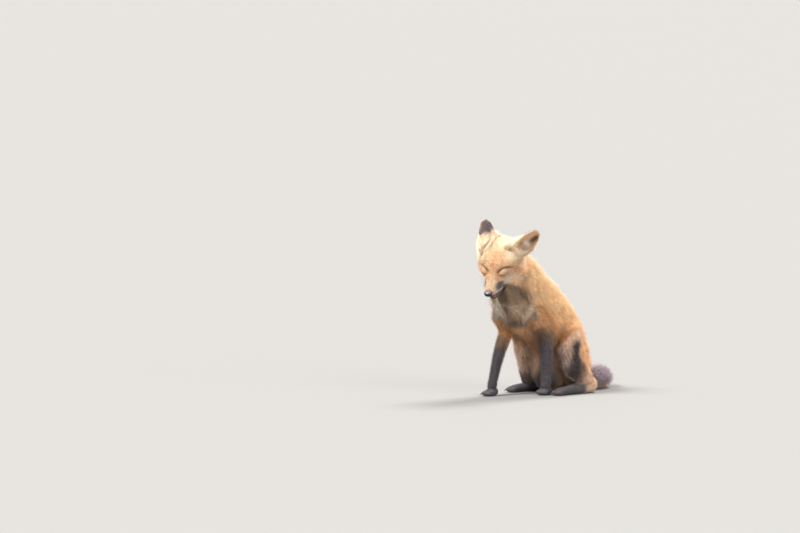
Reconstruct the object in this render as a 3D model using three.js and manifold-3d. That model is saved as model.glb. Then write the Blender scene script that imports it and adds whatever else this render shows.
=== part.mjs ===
// A young red fox in its first summer, sitting with its head bowed and its eyes squeezed shut, life size.
// Millimetres. +Z is up, the fox faces -Y and its left side is +X. The floor is z = 0, and the origin is
// the middle of the fox's bounding box, on the floor. Every solid reaches out to the tips of the coat.

import * as THREE from "three";
import { mergeVertices } from "three/addons/utils/BufferGeometryUtils.js";
import Module from "manifold-3d";

const wasm = await Module();
wasm.setup();

// ---- Driving dimensions ----

const partingGap = 0.3; // the thin cut between neighbouring pieces

const skull = {
  eyeBack: 55, // from the nose tip back to the eyes, along the palate
  eyeHeight: 27, // of the eye above the palate line
  eyeApart: 26, // from the midline to the centre of an eye
  eyeRadius: 9.5,
  mouthBack: 54, // from the nose tip back to the corner of the mouth
  crownBack: 112,
  crownHeight: 68,
  cheekWidth: 120, // across the cheek ruffs
  length: 154, // nose tip to the back of the head
};

const headPose = { nose: [24, -184, 260], bow: 39, turn: 24, tilt: 4 }; // place in mm, angles in degrees

const ear = { length: 88, width: 52, depth: 19, wall: 3.2 };

// Where each ear stands on the head, and how it is carried.
const earPose = {
  left: { at: [50, 116, 45], lean: -20, splay: 43, turn: 34 }, // let down sideways, opening to the left
  right: { at: [-32, 114, 47], lean: -16, splay: 2, turn: -114 }, // up, its opening turned away behind
};

const jawPose = { hinge: [0, 74, -6], open: 13 };

// Named points of the skeleton. The left foreleg stands upright, and the right one is braced forwards.
const spine = {
  nape: [-12, -104, 344],
  midNeck: [-5, -80, 312],
  neckBase: [0, -52, 276],
  withers: [0, -22, 240],
  ribs: [0, 14, 200],
  loin: [0, 52, 150],
  pelvis: [0, 82, 102],
  rump: [0, 98, 60],
  seat: [0, 102, 30],
};

const limbs = {
  left: {
    side: 1,
    shoulder: [26, -40, 242],
    upperArm: [44, -42, 208],
    elbow: [40, -14, 162],
    forearm: [38, -6, 112],
    wrist: [34, -2, 54],
    pastern: [32, -3, 22],
    forepaw: { at: [31, -4, 0], heading: 6 },
    hip: [34, 98, 126],
    thigh: [54, 68, 126],
    knee: [63, 36, 116],
    shin: [66, 58, 70],
    hock: [63, 122, 32],
    hindpaw: { at: [65, 18, 0], heading: 4 },
  },
  right: {
    side: -1,
    shoulder: [-27, -84, 250],
    upperArm: [-43, -80, 213],
    elbow: [-44, -68, 162],
    forearm: [-42, -90, 112],
    wrist: [-38, -111, 54],
    pastern: [-36, -121, 22],
    forepaw: { at: [-35, -125, 0], heading: -4 },
    hip: [-34, 90, 126],
    thigh: [-52, 42, 130],
    knee: [-58, -2, 124],
    shin: [-64, 24, 72],
    hock: [-65, 84, 32],
    hindpaw: { at: [-72, -14, 0], heading: -6 },
  },
};

const tailPath = {
  root: [0, 128, 54],
  base: [0, 166, 36],
  bend: [-6, 206, 27],
  middle: [-38, 240, 26],
  brush: [-84, 250, 26],
  taper: [-128, 238, 22],
  tip: [-158, 218, 14],
};

// ---- Materials ----

const finish = (color, roughness) => new THREE.MeshStandardMaterial({ color, roughness, metalness: 0 });
const redCoat = finish(0xc98a55, 0.9);
const faceCoat = finish(0xdcb085, 0.9);
const darkCoat = finish(0x4a4243, 0.9);
const brushCoat = finish(0x6b5a55, 0.95);
const earCoat = finish(0x8c7263, 0.9);
const leather = finish(0x1d1a1b, 0.4);
const wetTongue = finish(0x6e4244, 0.35);
const eyeball = finish(0x1a1310, 0.15);

// ---- Making and cutting solids ----

const { degToRad } = THREE.MathUtils;
const vector = (p) => new THREE.Vector3(...p);

// One ring of a lofted form: its centre, half its width, and how far it rises and drops from the centre.
const section = (at, half, rise, drop = rise) => ({ at, half, rise, drop });

// A closed form with rounded ends, lofted through sections. `upper` is roughly the way each ring rises.
// Rings between the sections follow a smooth curve, and `square` over 2 fills out a ring's corners.
function loft(sections, { upper = [0, 0, 1], sides = 12, steps = 2, caps = 1, square = 2, dome = 0.6 } = {}) {
  const path = new THREE.CatmullRomCurve3(sections.map((s) => vector(s.at)));
  const sizes = new THREE.CatmullRomCurve3(
    sections.map((s) => new THREE.Vector3(s.half, s.rise, s.drop)),
  );
  const spans = (sections.length - 1) * steps;
  const rings = [];
  const addRing = (t, along, scale) => {
    const centre = path.getPoint(t);
    const tangent = path.getTangent(t);
    const size = sizes.getPoint(t);
    const rise = vector(upper).addScaledVector(tangent, -tangent.dot(vector(upper))).normalize();
    const across = new THREE.Vector3().crossVectors(rise, tangent);
    centre.addScaledVector(tangent, along * dome * Math.min(size.x, (size.y + size.z) / 2));
    rings.push({ centre, across, rise, size: size.multiplyScalar(scale) });
  };
  const capAngle = (i) => (i / (caps + 1)) * (Math.PI / 2);
  for (let i = caps; i > 0; i--) addRing(0, -Math.sin(capAngle(i)), Math.cos(capAngle(i)));
  for (let i = 0; i <= spans; i++) addRing(i / spans, 0, 1);
  for (let i = 1; i <= caps; i++) addRing(1, Math.sin(capAngle(i)), Math.cos(capAngle(i)));

  const positions = [];
  const bulge = (x) => Math.sign(x) * Math.abs(x) ** (2 / square);
  for (const { centre, across, rise, size } of rings) {
    for (let k = 0; k < sides; k++) {
      const angle = (k / sides) * 2 * Math.PI;
      const up = bulge(Math.sin(angle));
      const point = centre
        .clone()
        .addScaledVector(across, size.x * bulge(Math.cos(angle)))
        .addScaledVector(rise, up * (up > 0 ? size.y : size.z));
      positions.push(...point.toArray());
    }
  }
  const startPole = positions.length / 3;
  for (const [t, sign] of [
    [0, -1],
    [1, 1],
  ]) {
    const size = sizes.getPoint(t);
    const reach = sign * dome * Math.min(size.x, (size.y + size.z) / 2);
    positions.push(...path.getPoint(t).addScaledVector(path.getTangent(t), reach).toArray());
  }
  const endPole = startPole + 1;

  const faces = [];
  const last = (rings.length - 1) * sides;
  for (let k = 0; k < sides; k++) {
    const next = (k + 1) % sides;
    faces.push(startPole, next, k, endPole, last + k, last + next);
    for (let ring = 0; ring < last; ring += sides) {
      faces.push(ring + k, ring + next, ring + sides + k);
      faces.push(ring + next, ring + sides + next, ring + sides + k);
    }
  }
  return new THREE.BufferGeometry()
    .setAttribute("position", new THREE.Float32BufferAttribute(positions, 3))
    .setIndex(faces);
}

// The same sections, fuller all round by the parting gap, for cutting a neighbour back.
const fuller = (sections) =>
  sections.map((s) => section(s.at, s.half + partingGap, s.rise + partingGap, s.drop + partingGap));

function solid(geometry) {
  const bare = geometry.clone();
  bare.deleteAttribute("normal");
  bare.deleteAttribute("uv");
  const merged = mergeVertices(bare);
  return new wasm.Manifold(
    new wasm.Mesh({
      numProp: 3,
      vertProperties: merged.getAttribute("position").array,
      triVerts: new Uint32Array(merged.index.array),
    }),
  );
}

const unite = (solids) => solids.reduce((all, one) => all.add(one));
const cutBy = (body, ...cutters) => cutters.reduce((left, cutter) => left.subtract(cutter), body);
const moved = (body, matrix) => body.transform(matrix.elements);

// What a cut leaves, without the crumbs that it may split off.
const mainPiece = (body) =>
  body.decompose().reduce((most, one) => (one.volume() > most.volume() ? one : most));

// The two parts of a body on either side of a thin flat cut, the one that the normal points to first.
function partAt(body, point, normal) {
  const along = vector(normal).normalize();
  const offset = vector(point).dot(along);
  const back = along.clone().negate();
  return [
    body.trimByPlane(along.toArray(), offset + partingGap / 2),
    body.trimByPlane(back.toArray(), -offset + partingGap / 2),
  ];
}

function node(name, body, material) {
  const made = mainPiece(body).getMesh();
  const geometry = new THREE.BufferGeometry()
    .setAttribute("position", new THREE.BufferAttribute(made.vertProperties, 3))
    .setIndex(new THREE.BufferAttribute(made.triVerts, 1));
  geometry.computeVertexNormals();
  const mesh = new THREE.Mesh(geometry, material);
  mesh.name = name;
  return mesh;
}

// A form as it is, and the same form fuller by the gap, to cut its neighbours with.
function form(sections, options) {
  return { body: solid(loft(sections, options)), cutter: solid(loft(fuller(sections), options)) };
}

function joined(forms) {
  return { body: unite(forms.map((f) => f.body)), cutter: unite(forms.map((f) => f.cutter)) };
}

function placedForm({ body, cutter }, matrix) {
  return { body: moved(body, matrix), cutter: moved(cutter, matrix) };
}

// Everything under the floor, so that what rests on it ends in a flat at z = 0.
const underFloor = solid(new THREE.BoxGeometry(1000, 1000, 200).translate(0, 0, -100));

// ---- The head, in its own frame: nose tip at the origin, +Y back along the palate, +Z up ----

const headMatrix = new THREE.Matrix4()
  .makeTranslation(...headPose.nose)
  .multiply(new THREE.Matrix4().makeRotationZ(degToRad(headPose.turn)))
  .multiply(new THREE.Matrix4().makeRotationX(degToRad(headPose.bow)))
  .multiply(new THREE.Matrix4().makeRotationY(degToRad(headPose.tilt)));

function headForm() {
  const { eyeBack, eyeHeight, crownBack, crownHeight, length, cheekWidth } = skull;
  const face = form(
    [
      section([0, 7, 1], 10.5, 8, 9),
      section([0, 20, 2], 14, 11, 12),
      section([0, 36, 4], 18, 14, 14),
      section([0, 50, 6], 26, 20, 18),
      section([0, eyeBack + 8, 8], 36, eyeHeight + 3, 21),
      section([0, eyeBack + 22, 10], 45, 41, 25),
      section([0, eyeBack + 38, 12], 51, 50, 29),
      section([0, crownBack, 13], 54, crownHeight - 13, 34),
      section([0, length - 24, 14], 52, crownHeight - 13, 35),
      section([0, length - 7, 14], 37, 40, 28),
    ],
    { sides: 16, steps: 1, square: 2.15 },
  );
  const details = [];
  for (const side of [-1, 1]) {
    const cheek = [
      section([side * 18, eyeBack + 4, 6], 14, 12, 20),
      section([side * 27, eyeBack + 24, 10], 21, 18, 31),
      section([side * (cheekWidth / 2 - 21), eyeBack + 46, 10], 20, 22, 32),
      section([side * (cheekWidth / 2 - 22), eyeBack + 68, 12], 14, 16, 24),
    ];
    const whiskerPad = [
      section([side * 6.5, 10, -3], 5.5, 6),
      section([side * 12.5, 23, -4], 6.5, 7.5),
      section([side * 18, 40, -4], 8, 8.5),
    ];
    details.push(
      form(cheek, { sides: 9, steps: 1, dome: 0.9 }),
      form(whiskerPad, { sides: 6, steps: 1, dome: 0.9 }),
    );
  }
  return joined([face, ...details]);
}

// A closed lid's bulge over the eyeball. The lids meet along the slit that runs across it.
function eyeForm(side) {
  const ball = (radius) =>
    solid(
      new THREE.SphereGeometry(radius, 10, 6)
        .scale(1.25, 1, 0.85)
        .rotateY(side * -0.35)
        .rotateZ(side * 0.75)
        .translate(side * skull.eyeApart, skull.eyeBack + 3, skull.eyeHeight - 1),
    );
  return { body: ball(skull.eyeRadius), cutter: ball(skull.eyeRadius + partingGap) };
}

function noseForm() {
  return form(
    [
      section([0, 9, 4.5], 8.6, 6, 7),
      section([0, 3.5, 4], 10, 6.6, 7.6),
      section([0, -1, 2.6], 8.4, 5.2, 6.4),
    ],
    { sides: 10, square: 2.3, steps: 1 },
  );
}

// The lower jaw and its tongue, dropped open about the hinge below the ears.
const jawMatrix = new THREE.Matrix4()
  .makeTranslation(...jawPose.hinge)
  .multiply(new THREE.Matrix4().makeRotationX(degToRad(jawPose.open)))
  .multiply(new THREE.Matrix4().makeTranslation(...jawPose.hinge.map((x) => -x)));

function jawForm() {
  const jaw = form(
    [
      section([0, 14, -15.5], 8, 3.5, 5.5),
      section([0, 26, -16], 11.5, 4, 7.5),
      section([0, 44, -16], 17, 4.5, 10.5),
      section([0, 72, -12], 28, 9, 18),
    ],
    { sides: 8, square: 2.2, steps: 1 },
  );
  return placedForm(jaw, jawMatrix);
}

function tongueForm() {
  const tongue = form(
    [
      section([0, 14, -11.6], 5.4, 1.8, 2.2),
      section([0, 26, -11.6], 7.6, 2.2, 2.8),
      section([0, 42, -11.8], 8.6, 2.4, 3.2),
    ],
    { sides: 8, steps: 1 },
  );
  return placedForm(tongue, jawMatrix);
}

// An ear stands on its base along +Z and opens towards -Y: a scoop whose wall is thin at the rim.
function earForm() {
  const rise = [-0.06, 0.14, 0.34, 0.54, 0.74, 0.9]; // shares of the ear's length
  const taper = [0.88, 0.98, 1, 0.9, 0.68, 0.4]; // of its width at those heights
  const hollow = [0.95, 1, 0.9, 0.74, 0.54, 0.34]; // of its depth there
  const ring = (k, thin) =>
    section(
      [0, 0, rise[k] * ear.length],
      (ear.width / 2) * taper[k] - thin,
      ear.depth * hollow[k] - thin,
      thin ? ear.depth : 3 * hollow[k],
    );
  const options = { upper: [0, 1, 0], sides: 10, steps: 1 };
  const shell = form(rise.map((_, k) => ring(k, 0)), options);
  const scoop = solid(loft(rise.slice(1).map((_, k) => ring(k + 1, ear.wall)), options));
  const root = form(
    [section([0, 8, -26], 21, 14), section([0, 7, -12], 23, 15), section([0, 6, -2], 20, 12)],
    { upper: [0, 1, 0], sides: 8, steps: 1 },
  );
  return { body: cutBy(shell.body, scoop).add(root.body), cutter: shell.cutter.add(root.cutter) };
}

function earMatrix(side, { at, lean, splay, turn }) {
  return new THREE.Matrix4()
    .makeTranslation(...at)
    .multiply(new THREE.Matrix4().makeRotationX(degToRad(lean)))
    .multiply(new THREE.Matrix4().makeRotationY(degToRad(side * splay)))
    .multiply(new THREE.Matrix4().makeRotationZ(degToRad(turn)));
}

// ---- The trunk, neck and tail ----

const dorsal = [0, 0.78, 0.63]; // the way the back faces as the fox sits

function trunkForm() {
  return form(
    [
      section(spine.neckBase, 46, 53, 64),
      section(spine.withers, 55, 63, 87),
      section(spine.ribs, 60, 69, 78),
      section(spine.loin, 61, 70, 68),
      section(spine.pelvis, 61, 64, 62),
      section(spine.rump, 58, 54, 46),
      section(spine.seat, 50, 46, 40),
    ],
    { upper: dorsal, sides: 16 },
  );
}

function neckForm() {
  return form(
    [
      section(spine.nape, 44, 44, 46),
      section(spine.midNeck, 48, 52, 64),
      section(spine.neckBase, 53, 58, 90),
      section(spine.withers, 46, 54, 70),
    ],
    { upper: dorsal, dome: 0.4 },
  );
}

function tailForms() {
  const { root, base, bend, middle, brush, taper, tip } = tailPath;
  const lengths = {
    tail_base: [section(root, 16, 16), section(base, 24, 24), section(bend, 30, 26, 27.6)],
    tail_middle: [section(bend, 30, 26, 27.6), section(middle, 32, 28, 27), section(brush, 31, 27, 27)],
    tail_tip: [section(brush, 31, 27, 27), section(taper, 24, 21, 23), section(tip, 12, 11, 14.6)],
  };
  return Object.entries(lengths).map(([name, sections]) => [
    name,
    form(sections, { sides: 10, dome: name === "tail_tip" ? 1.2 : 0.5 }),
  ]);
}

// ---- Legs and paws ----

const forwards = [0, -1, 0];
const between = (a, b, share = 0.5) => vector(a).lerp(vector(b), share).toArray();

function forelegForm({ shoulder, upperArm, elbow, forearm, wrist, pastern }) {
  return form(
    [
      section(shoulder, 12, 16),
      section(upperArm, 24, 33, 26),
      section(between(upperArm, elbow, 0.6), 22, 28, 25),
      section(elbow, 17, 19, 22),
      section(forearm, 14.5, 16, 17),
      section(wrist, 12.5, 13),
      section(pastern, 13, 13, 12),
    ],
    { upper: forwards },
  );
}

function hindlegForm({ side, hip, thigh, knee, shin, hock }) {
  const thighForm = form([section(hip, 20, 40, 46), section(thigh, 22, 46, 40), section(knee, 17, 24, 28)], {
    upper: [0, 0.3, 1],
  });
  const shankForm = form(
    [
      section(knee, 24, 17),
      section(shin, 31, 18),
      section(between(shin, hock), 27, 16),
      section(hock, 12, 7),
    ],
    { upper: [side, 0, 0], steps: 1 },
  );
  return joined([thighForm, shankForm]);
}

// A paw points along -Y from `at`, under the ball of the foot, with four toes and their claws.
function pawForm({ at, heading }, heel) {
  const ball = [section([0, 12, 11], 12.5, 10, 12), section([0, -6, 10], 14.5, 8, 11.4)];
  const sole = heel
    ? [section([0, heel, 22], 15, 20, 22.6), section([0, heel * 0.55, 15], 13, 14, 15.5), ...ball]
    : ball;
  const pieces = [form(sole, { sides: 10, steps: 1, dome: 0.9 })];
  for (const toe of [-1.5, -0.5, 0.5, 1.5]) {
    const reach = Math.abs(toe) < 1 ? -22 : -17;
    const spread = toe * 8;
    const toeForm = form(
      [
        section([toe * 7, -3, 9], 5, 7, 9.4),
        section([spread, reach + 2, 7.5], 4.6, 6, 7.9),
      ],
      { sides: 6, steps: 1, dome: 0.9 },
    );
    const claw = form(
      [section([spread, reach, 6.5], 1.5, 1.7), section([spread * 1.03, reach - 7, 4], 0.7, 0.8)],
      { sides: 5, steps: 1, caps: 0, dome: 1 },
    );
    pieces.push(toeForm, claw);
  }
  const place = new THREE.Matrix4()
    .makeTranslation(...at)
    .multiply(new THREE.Matrix4().makeRotationZ(degToRad(heading)));
  return placedForm(joined(pieces), place);
}

// ---- Putting the fox together ----

const head = headForm();
const jaw = jawForm();
const tongue = tongueForm();
const nose = noseForm();
const trunk = trunkForm();
const neck = neckForm();
const tail = tailForms();

const fox = new THREE.Group();
const headGroup = new THREE.Group();
headGroup.applyMatrix4(headMatrix);
fox.add(headGroup);

const ears = {};
const eyes = {};
for (const [name, { side }] of Object.entries(limbs)) {
  ears[name] = placedForm(earForm(), earMatrix(side, earPose[name]));
  eyes[name] = eyeForm(side);
}

// The jaw is free in front of the mouth's corners, and belongs to the head behind them.
const mouthCorner = [0, skull.mouthBack, 0];
const [chin, jawRoot] = partAt(jaw.body, mouthCorner, [0, -1, 0]);
const [chinCutter] = partAt(jaw.cutter, mouthCorner, [0, -1, 0]);

// Head, neck and trunk are one body, parted by two thin flat cuts behind the cheeks and at the shoulders.
const skullBody = cutBy(
  head.body.add(jawRoot),
  chinCutter,
  tongue.cutter,
  nose.cutter,
  eyes.left.cutter,
  eyes.right.cutter,
);
const toHead = headMatrix.clone().invert();
const neckAndTrunk = moved(neck.body.add(trunk.body), toHead).subtract(chinCutter);
const [headPiece, body] = partAt(skullBody.add(neckAndTrunk), [0, 72, -46], [0, -0.64, 0.768]);
const [neckPiece, trunkPiece] = partAt(moved(body, headMatrix), [0, -46, 262], [0, -0.1, 1]);

headGroup.add(
  node("head", cutBy(headPiece, ears.left.cutter, ears.right.cutter), faceCoat),
  node("nose", nose.body, leather),
  node("jaw", cutBy(chin, tongue.cutter), faceCoat),
  node("tongue", tongue.body, wetTongue),
);
for (const name of Object.keys(limbs)) {
  headGroup.add(node(`ear_${name}`, ears[name].body, earCoat));
  headGroup.add(node(`eye_${name}`, eyes[name].body, eyeball));
}

const headCutters = [chinCutter, ears.left.cutter, ears.right.cutter].map((c) => moved(c, headMatrix));
const legCutters = [];
for (const [name, limb] of Object.entries(limbs)) {
  const foreleg = forelegForm(limb);
  const forepaw = pawForm(limb.forepaw, 0);
  const hindleg = hindlegForm(limb);
  const heel = limb.hock[1] - limb.hindpaw.at[1] + 8;
  const hindpaw = pawForm(limb.hindpaw, heel);
  fox.add(
    node(`foreleg_${name}`, cutBy(foreleg.body, forepaw.cutter), redCoat),
    node(`forepaw_${name}`, cutBy(forepaw.body, underFloor), darkCoat),
    node(`hindleg_${name}`, cutBy(hindleg.body, hindpaw.cutter, underFloor), redCoat),
    node(`hindpaw_${name}`, cutBy(hindpaw.body, underFloor), darkCoat),
  );
  legCutters.push(foreleg.cutter, hindleg.cutter, hindpaw.cutter);
}

fox.add(
  node("neck", cutBy(neckPiece, ...legCutters, ...headCutters), redCoat),
  node("trunk", cutBy(trunkPiece, ...legCutters, ...headCutters, underFloor), redCoat),
);
tail.forEach(([name, length], k) => {
  const before = k ? tail[k - 1][1].cutter : trunk.cutter;
  fox.add(node(name, cutBy(length.body, before, trunk.cutter, ...legCutters, underFloor), brushCoat));
});

const extent = new THREE.Box3().setFromObject(fox, true);
const middle = extent.getCenter(new THREE.Vector3());
fox.position.set(-middle.x, -middle.y, 0);

export default fox;
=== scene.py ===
import itertools
import math
import time

import bmesh
import bpy
import numpy as np
import openvdb
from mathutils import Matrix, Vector
from mathutils.kdtree import KDTree


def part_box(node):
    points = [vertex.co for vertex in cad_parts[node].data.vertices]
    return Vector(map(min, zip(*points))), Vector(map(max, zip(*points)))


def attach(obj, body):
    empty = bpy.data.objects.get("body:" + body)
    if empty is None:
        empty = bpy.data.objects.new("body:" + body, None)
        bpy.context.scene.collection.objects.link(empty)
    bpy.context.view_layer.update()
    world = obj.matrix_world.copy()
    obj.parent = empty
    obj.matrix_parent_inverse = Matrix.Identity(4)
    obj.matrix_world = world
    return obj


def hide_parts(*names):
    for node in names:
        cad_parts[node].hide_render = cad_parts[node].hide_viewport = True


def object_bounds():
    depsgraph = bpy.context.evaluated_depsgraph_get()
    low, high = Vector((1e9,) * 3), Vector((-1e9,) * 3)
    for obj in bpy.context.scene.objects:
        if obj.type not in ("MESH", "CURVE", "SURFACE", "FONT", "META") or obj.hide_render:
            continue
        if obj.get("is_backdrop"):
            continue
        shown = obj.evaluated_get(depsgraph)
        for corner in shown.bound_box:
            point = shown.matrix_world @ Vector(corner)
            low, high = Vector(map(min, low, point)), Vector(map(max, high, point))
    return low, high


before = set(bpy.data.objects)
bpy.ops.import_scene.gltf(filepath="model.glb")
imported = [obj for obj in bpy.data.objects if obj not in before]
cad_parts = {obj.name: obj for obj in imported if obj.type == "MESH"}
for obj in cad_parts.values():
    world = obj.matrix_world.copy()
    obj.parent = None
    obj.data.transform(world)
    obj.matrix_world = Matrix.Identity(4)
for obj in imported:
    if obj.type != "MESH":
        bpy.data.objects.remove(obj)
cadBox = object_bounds()
mm = 0.001  # the shapes are worked out in millimetres and stored in metres
startTime = time.time()


def report(text):
    print(f"{time.time() - startTime:6.1f} s  {text}")


# Numbers and vectors

def unit(vectors):
    return vectors / np.maximum(np.linalg.norm(vectors, axis=-1, keepdims=True), 1e-9)


def dot(a, b):
    return (a * b).sum(-1, keepdims=True)


def ramp(x, start, end):  # 0 before start, 1 after end, smooth between them
    t = np.clip((x - start) / (end - start), 0, 1)
    return t * t * (3 - 2 * t)


def hill(x, width):  # 1 at zero, falling away to both sides
    return np.exp(-((x / width) ** 2))


def blend(a, b, share):
    return a + (b - a) * share


def lattice(values, at):  # values on an even grid, read between the grid's points
    cell = np.clip(np.floor(at).astype(int), 0, np.array(values.shape[:3]) - 2)
    part = at - cell
    total = 0
    for corner in itertools.product((0, 1), repeat=3):
        weight = np.prod(np.where(corner, part, 1 - part), axis=1)
        total = total + weight * values[tuple((cell + corner).T)]
    return total


def noise(points, size, seed):  # soft random values from -1 to 1 in space
    cells = np.random.default_rng(seed).uniform(-1, 1, (32, 32, 32))
    at = points / size
    whole = np.floor(at)
    part = at - whole
    part = part * part * (3 - 2 * part)
    total = 0
    for corner in itertools.product((0, 1), repeat=3):
        weight = np.prod(np.where(corner, part, 1 - part), axis=1)
        total = total + weight * cells[tuple(((whole + corner).astype(int) % 32).T)]
    return total


def colour(red, green, blue):  # a colour as the eye sees it, 0 to 255
    return np.array((red, green, blue)) / 255


def linear(rgb):
    return np.where(rgb <= 0.04045, rgb / 12.92, ((np.maximum(rgb, 0.04045) + 0.055) / 1.055) ** 2.4)


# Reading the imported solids

def nodeMesh(name):  # corners in mm, and triangles
    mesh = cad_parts[name].data
    mesh.calc_loop_triangles()
    points = np.empty(len(mesh.vertices) * 3, np.float32)
    mesh.vertices.foreach_get("co", points)
    corners = np.empty(len(mesh.loop_triangles) * 3, np.int32)
    mesh.loop_triangles.foreach_get("vertices", corners)
    return points.reshape(-1, 3) / np.float32(mm), corners.reshape(-1, 3).astype(np.uint32)


def nodeMiddle(name):
    low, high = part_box(name)
    return np.array((low + high) / 2) / mm


class Grid:
    # An even grid of points over the whole fox, for distances to its surfaces in mm.
    def __init__(self, step, margin=9):
        low, high = (np.array(corner) / mm for corner in cadBox)
        self.step = step
        self.start = np.floor((low - margin) / step).astype(int)
        self.shape = tuple(np.ceil((high + margin) / step).astype(int) - self.start + 1)
        self.transform = openvdb.createLinearTransform(step)

    def distance(self, points, triangles=None, quads=None, reach=3.0):
        volume = openvdb.FloatGrid.createLevelSetFromPolygons(
            np.ascontiguousarray(points), triangles=triangles, quads=quads,
            transform=self.transform, halfWidth=reach / self.step,
        )
        values = np.empty(self.shape, np.float32)
        volume.copyToArray(values, ijk=tuple(int(k) for k in self.start))
        return values

    def surface(self, values, level=0.0, clip=6.0):
        volume = openvdb.FloatGrid(clip)
        volume.transform = self.transform
        volume.copyFromArray(np.clip(values, -clip, clip), ijk=tuple(int(k) for k in self.start))
        return volume.convertToQuads(isovalue=level)

    def read(self, values, points):
        return lattice(values, points / self.step - self.start)

    def slope(self, values, points, reach=1.0):  # the way the values rise
        sides = []
        for axis in np.eye(3) * reach:
            sides.append(self.read(values, points + axis) - self.read(values, points - axis))
        return unit(np.stack(sides, axis=1))

    def ends(self):  # the least and greatest places that can be read
        return self.start * self.step, (self.start + np.array(self.shape) - 1.001) * self.step

    def points(self):
        return self.part(np.array((self.start, self.start + self.shape)) * self.step)[1]

    def part(self, corners):  # the stretch of the grid round some points, and the places in it
        first = np.maximum(np.floor(np.min(corners, 0) / self.step + 1e-6).astype(int) - self.start, 0)
        last = np.minimum(np.ceil(np.max(corners, 0) / self.step - 1e-6).astype(int) - self.start, self.shape)
        axes = [(np.arange(a, b) + s) * self.step for a, b, s in zip(first, last, self.start)]
        points = np.stack(np.meshgrid(*axes, indexing="ij"), axis=-1).reshape(-1, 3)
        return tuple(slice(a, b) for a, b in zip(first, last)), points


def softened(values, radius):  # a blur of an even grid, its radius in steps
    reach = int(math.ceil(radius * 2.5))
    offsets = range(-reach, reach + 1)
    weights = np.exp(-0.5 * (np.array(offsets) / radius) ** 2)
    weights /= weights.sum()
    for axis in range(3):
        length = values.shape[axis]
        total = np.zeros_like(values)
        counted = np.zeros(length, np.float32)
        for weight, offset in zip(weights, offsets):
            target = [slice(None)] * 3
            source = [slice(None)] * 3
            target[axis] = slice(max(0, -offset), length - max(0, offset))
            source[axis] = slice(max(0, offset), length - max(0, -offset))
            total[tuple(target)] += np.float32(weight) * values[tuple(source)]
            counted[target[axis]] += weight
        values = total / counted.reshape([-1 if k == axis else 1 for k in range(3)])
    return values


# The head's own frame: nose tip at the origin, +Y back along the palate, +Z up, in mm

headSizes = {
    "eyeBack": 58,  # the middle of an eye, back from the nose tip
    "eyeUp": 26,
    "noseBack": 4.0,  # the middle of the nose leather
    "noseUp": 3.3,
}


def headFrame():
    left, right = nodeMiddle("eye_left"), nodeMiddle("eye_right")
    nose = nodeMesh("nose")[0].mean(0)
    across = unit(left - right)
    ahead = nose - (left + right) / 2
    ahead = unit(ahead - across * (ahead @ across))
    slope = math.atan2(headSizes["eyeUp"] - headSizes["noseUp"], headSizes["eyeBack"] - headSizes["noseBack"])
    lifted = np.cross(ahead, across)
    backwards = -math.cos(slope) * ahead - math.sin(slope) * lifted
    upwards = -math.sin(slope) * ahead + math.cos(slope) * lifted
    origin = (left + right) / 2 - headSizes["eyeBack"] * backwards - headSizes["eyeUp"] * upwards
    return origin, np.stack((across, backwards, upwards))


headOrigin, headAxes = headFrame()


def toHead(points):
    return (points - headOrigin) @ headAxes.T


def fromHead(points):
    return np.asarray(points) @ headAxes + headOrigin


# How each ear is carried on the head: its foot in the head's frame in mm, then three turns in degrees.
earPose = {
    "ear_left": {"side": 1, "foot": (50, 116, 45), "lean": -20, "splay": 43, "turn": 34},
    "ear_right": {"side": -1, "foot": (-32, 114, 47), "lean": -16, "splay": 2, "turn": -114},
}
earSizes = {"length": 88, "width": 52}


def turned(axis, degrees):
    c, s = math.cos(math.radians(degrees)), math.sin(math.radians(degrees))
    return np.array({
        "x": ((1, 0, 0), (0, c, -s), (0, s, c)),
        "y": ((c, 0, s), (0, 1, 0), (-s, 0, c)),
        "z": ((c, -s, 0), (s, c, 0), (0, 0, 1)),
    }[axis])


def earTurn(pose):
    return turned("x", pose["lean"]) @ turned("y", pose["side"] * pose["splay"]) @ turned("z", pose["turn"])


def toEar(name, points):  # +Z along the ear, which opens towards -Y
    pose = earPose[name]
    return (toHead(points) - np.array(pose["foot"])) @ earTurn(pose)


def fromEar(name, points):
    pose = earPose[name]
    return fromHead(np.asarray(points) @ earTurn(pose).T + np.array(pose["foot"]))


# The coat's depth, region by region

fleshNodes = [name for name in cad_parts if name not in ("nose", "tongue", "eye_left", "eye_right")]

# Depth is how far the skin lies under the solid's face; length and width are those of a tuft, all in mm.
coatRegions = {
    "ear": {"depth": 0.0, "length": 4.5, "width": 0.8},
    "neck": {"depth": 9, "length": 27, "width": 1.6},
    "trunk": {"depth": 7, "length": 25, "width": 1.6},
    "foreleg": {"depth": 1.6, "length": 7, "width": 0.9},
    "forepaw": {"depth": 0.9, "length": 4, "width": 0.7},
    "hindleg": {"depth": 4, "length": 15, "width": 1.2},
    "hindpaw": {"depth": 1.0, "length": 4.5, "width": 0.8},
    "tail": {"depth": 12, "length": 34, "width": 1.25},
}


def headDepth(local):
    x, y, z = local.T
    depth = 0.9 + 2.0 * ramp(y, 50, 95) + 2.2 * ramp(y, 95, 145)
    depth += 4.0 * ramp(np.abs(x), 38, 58) * ramp(y, 72, 100)
    depth += 7.0 * ramp(-z, 14, 48) * ramp(y, 45, 85)
    return depth


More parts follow.
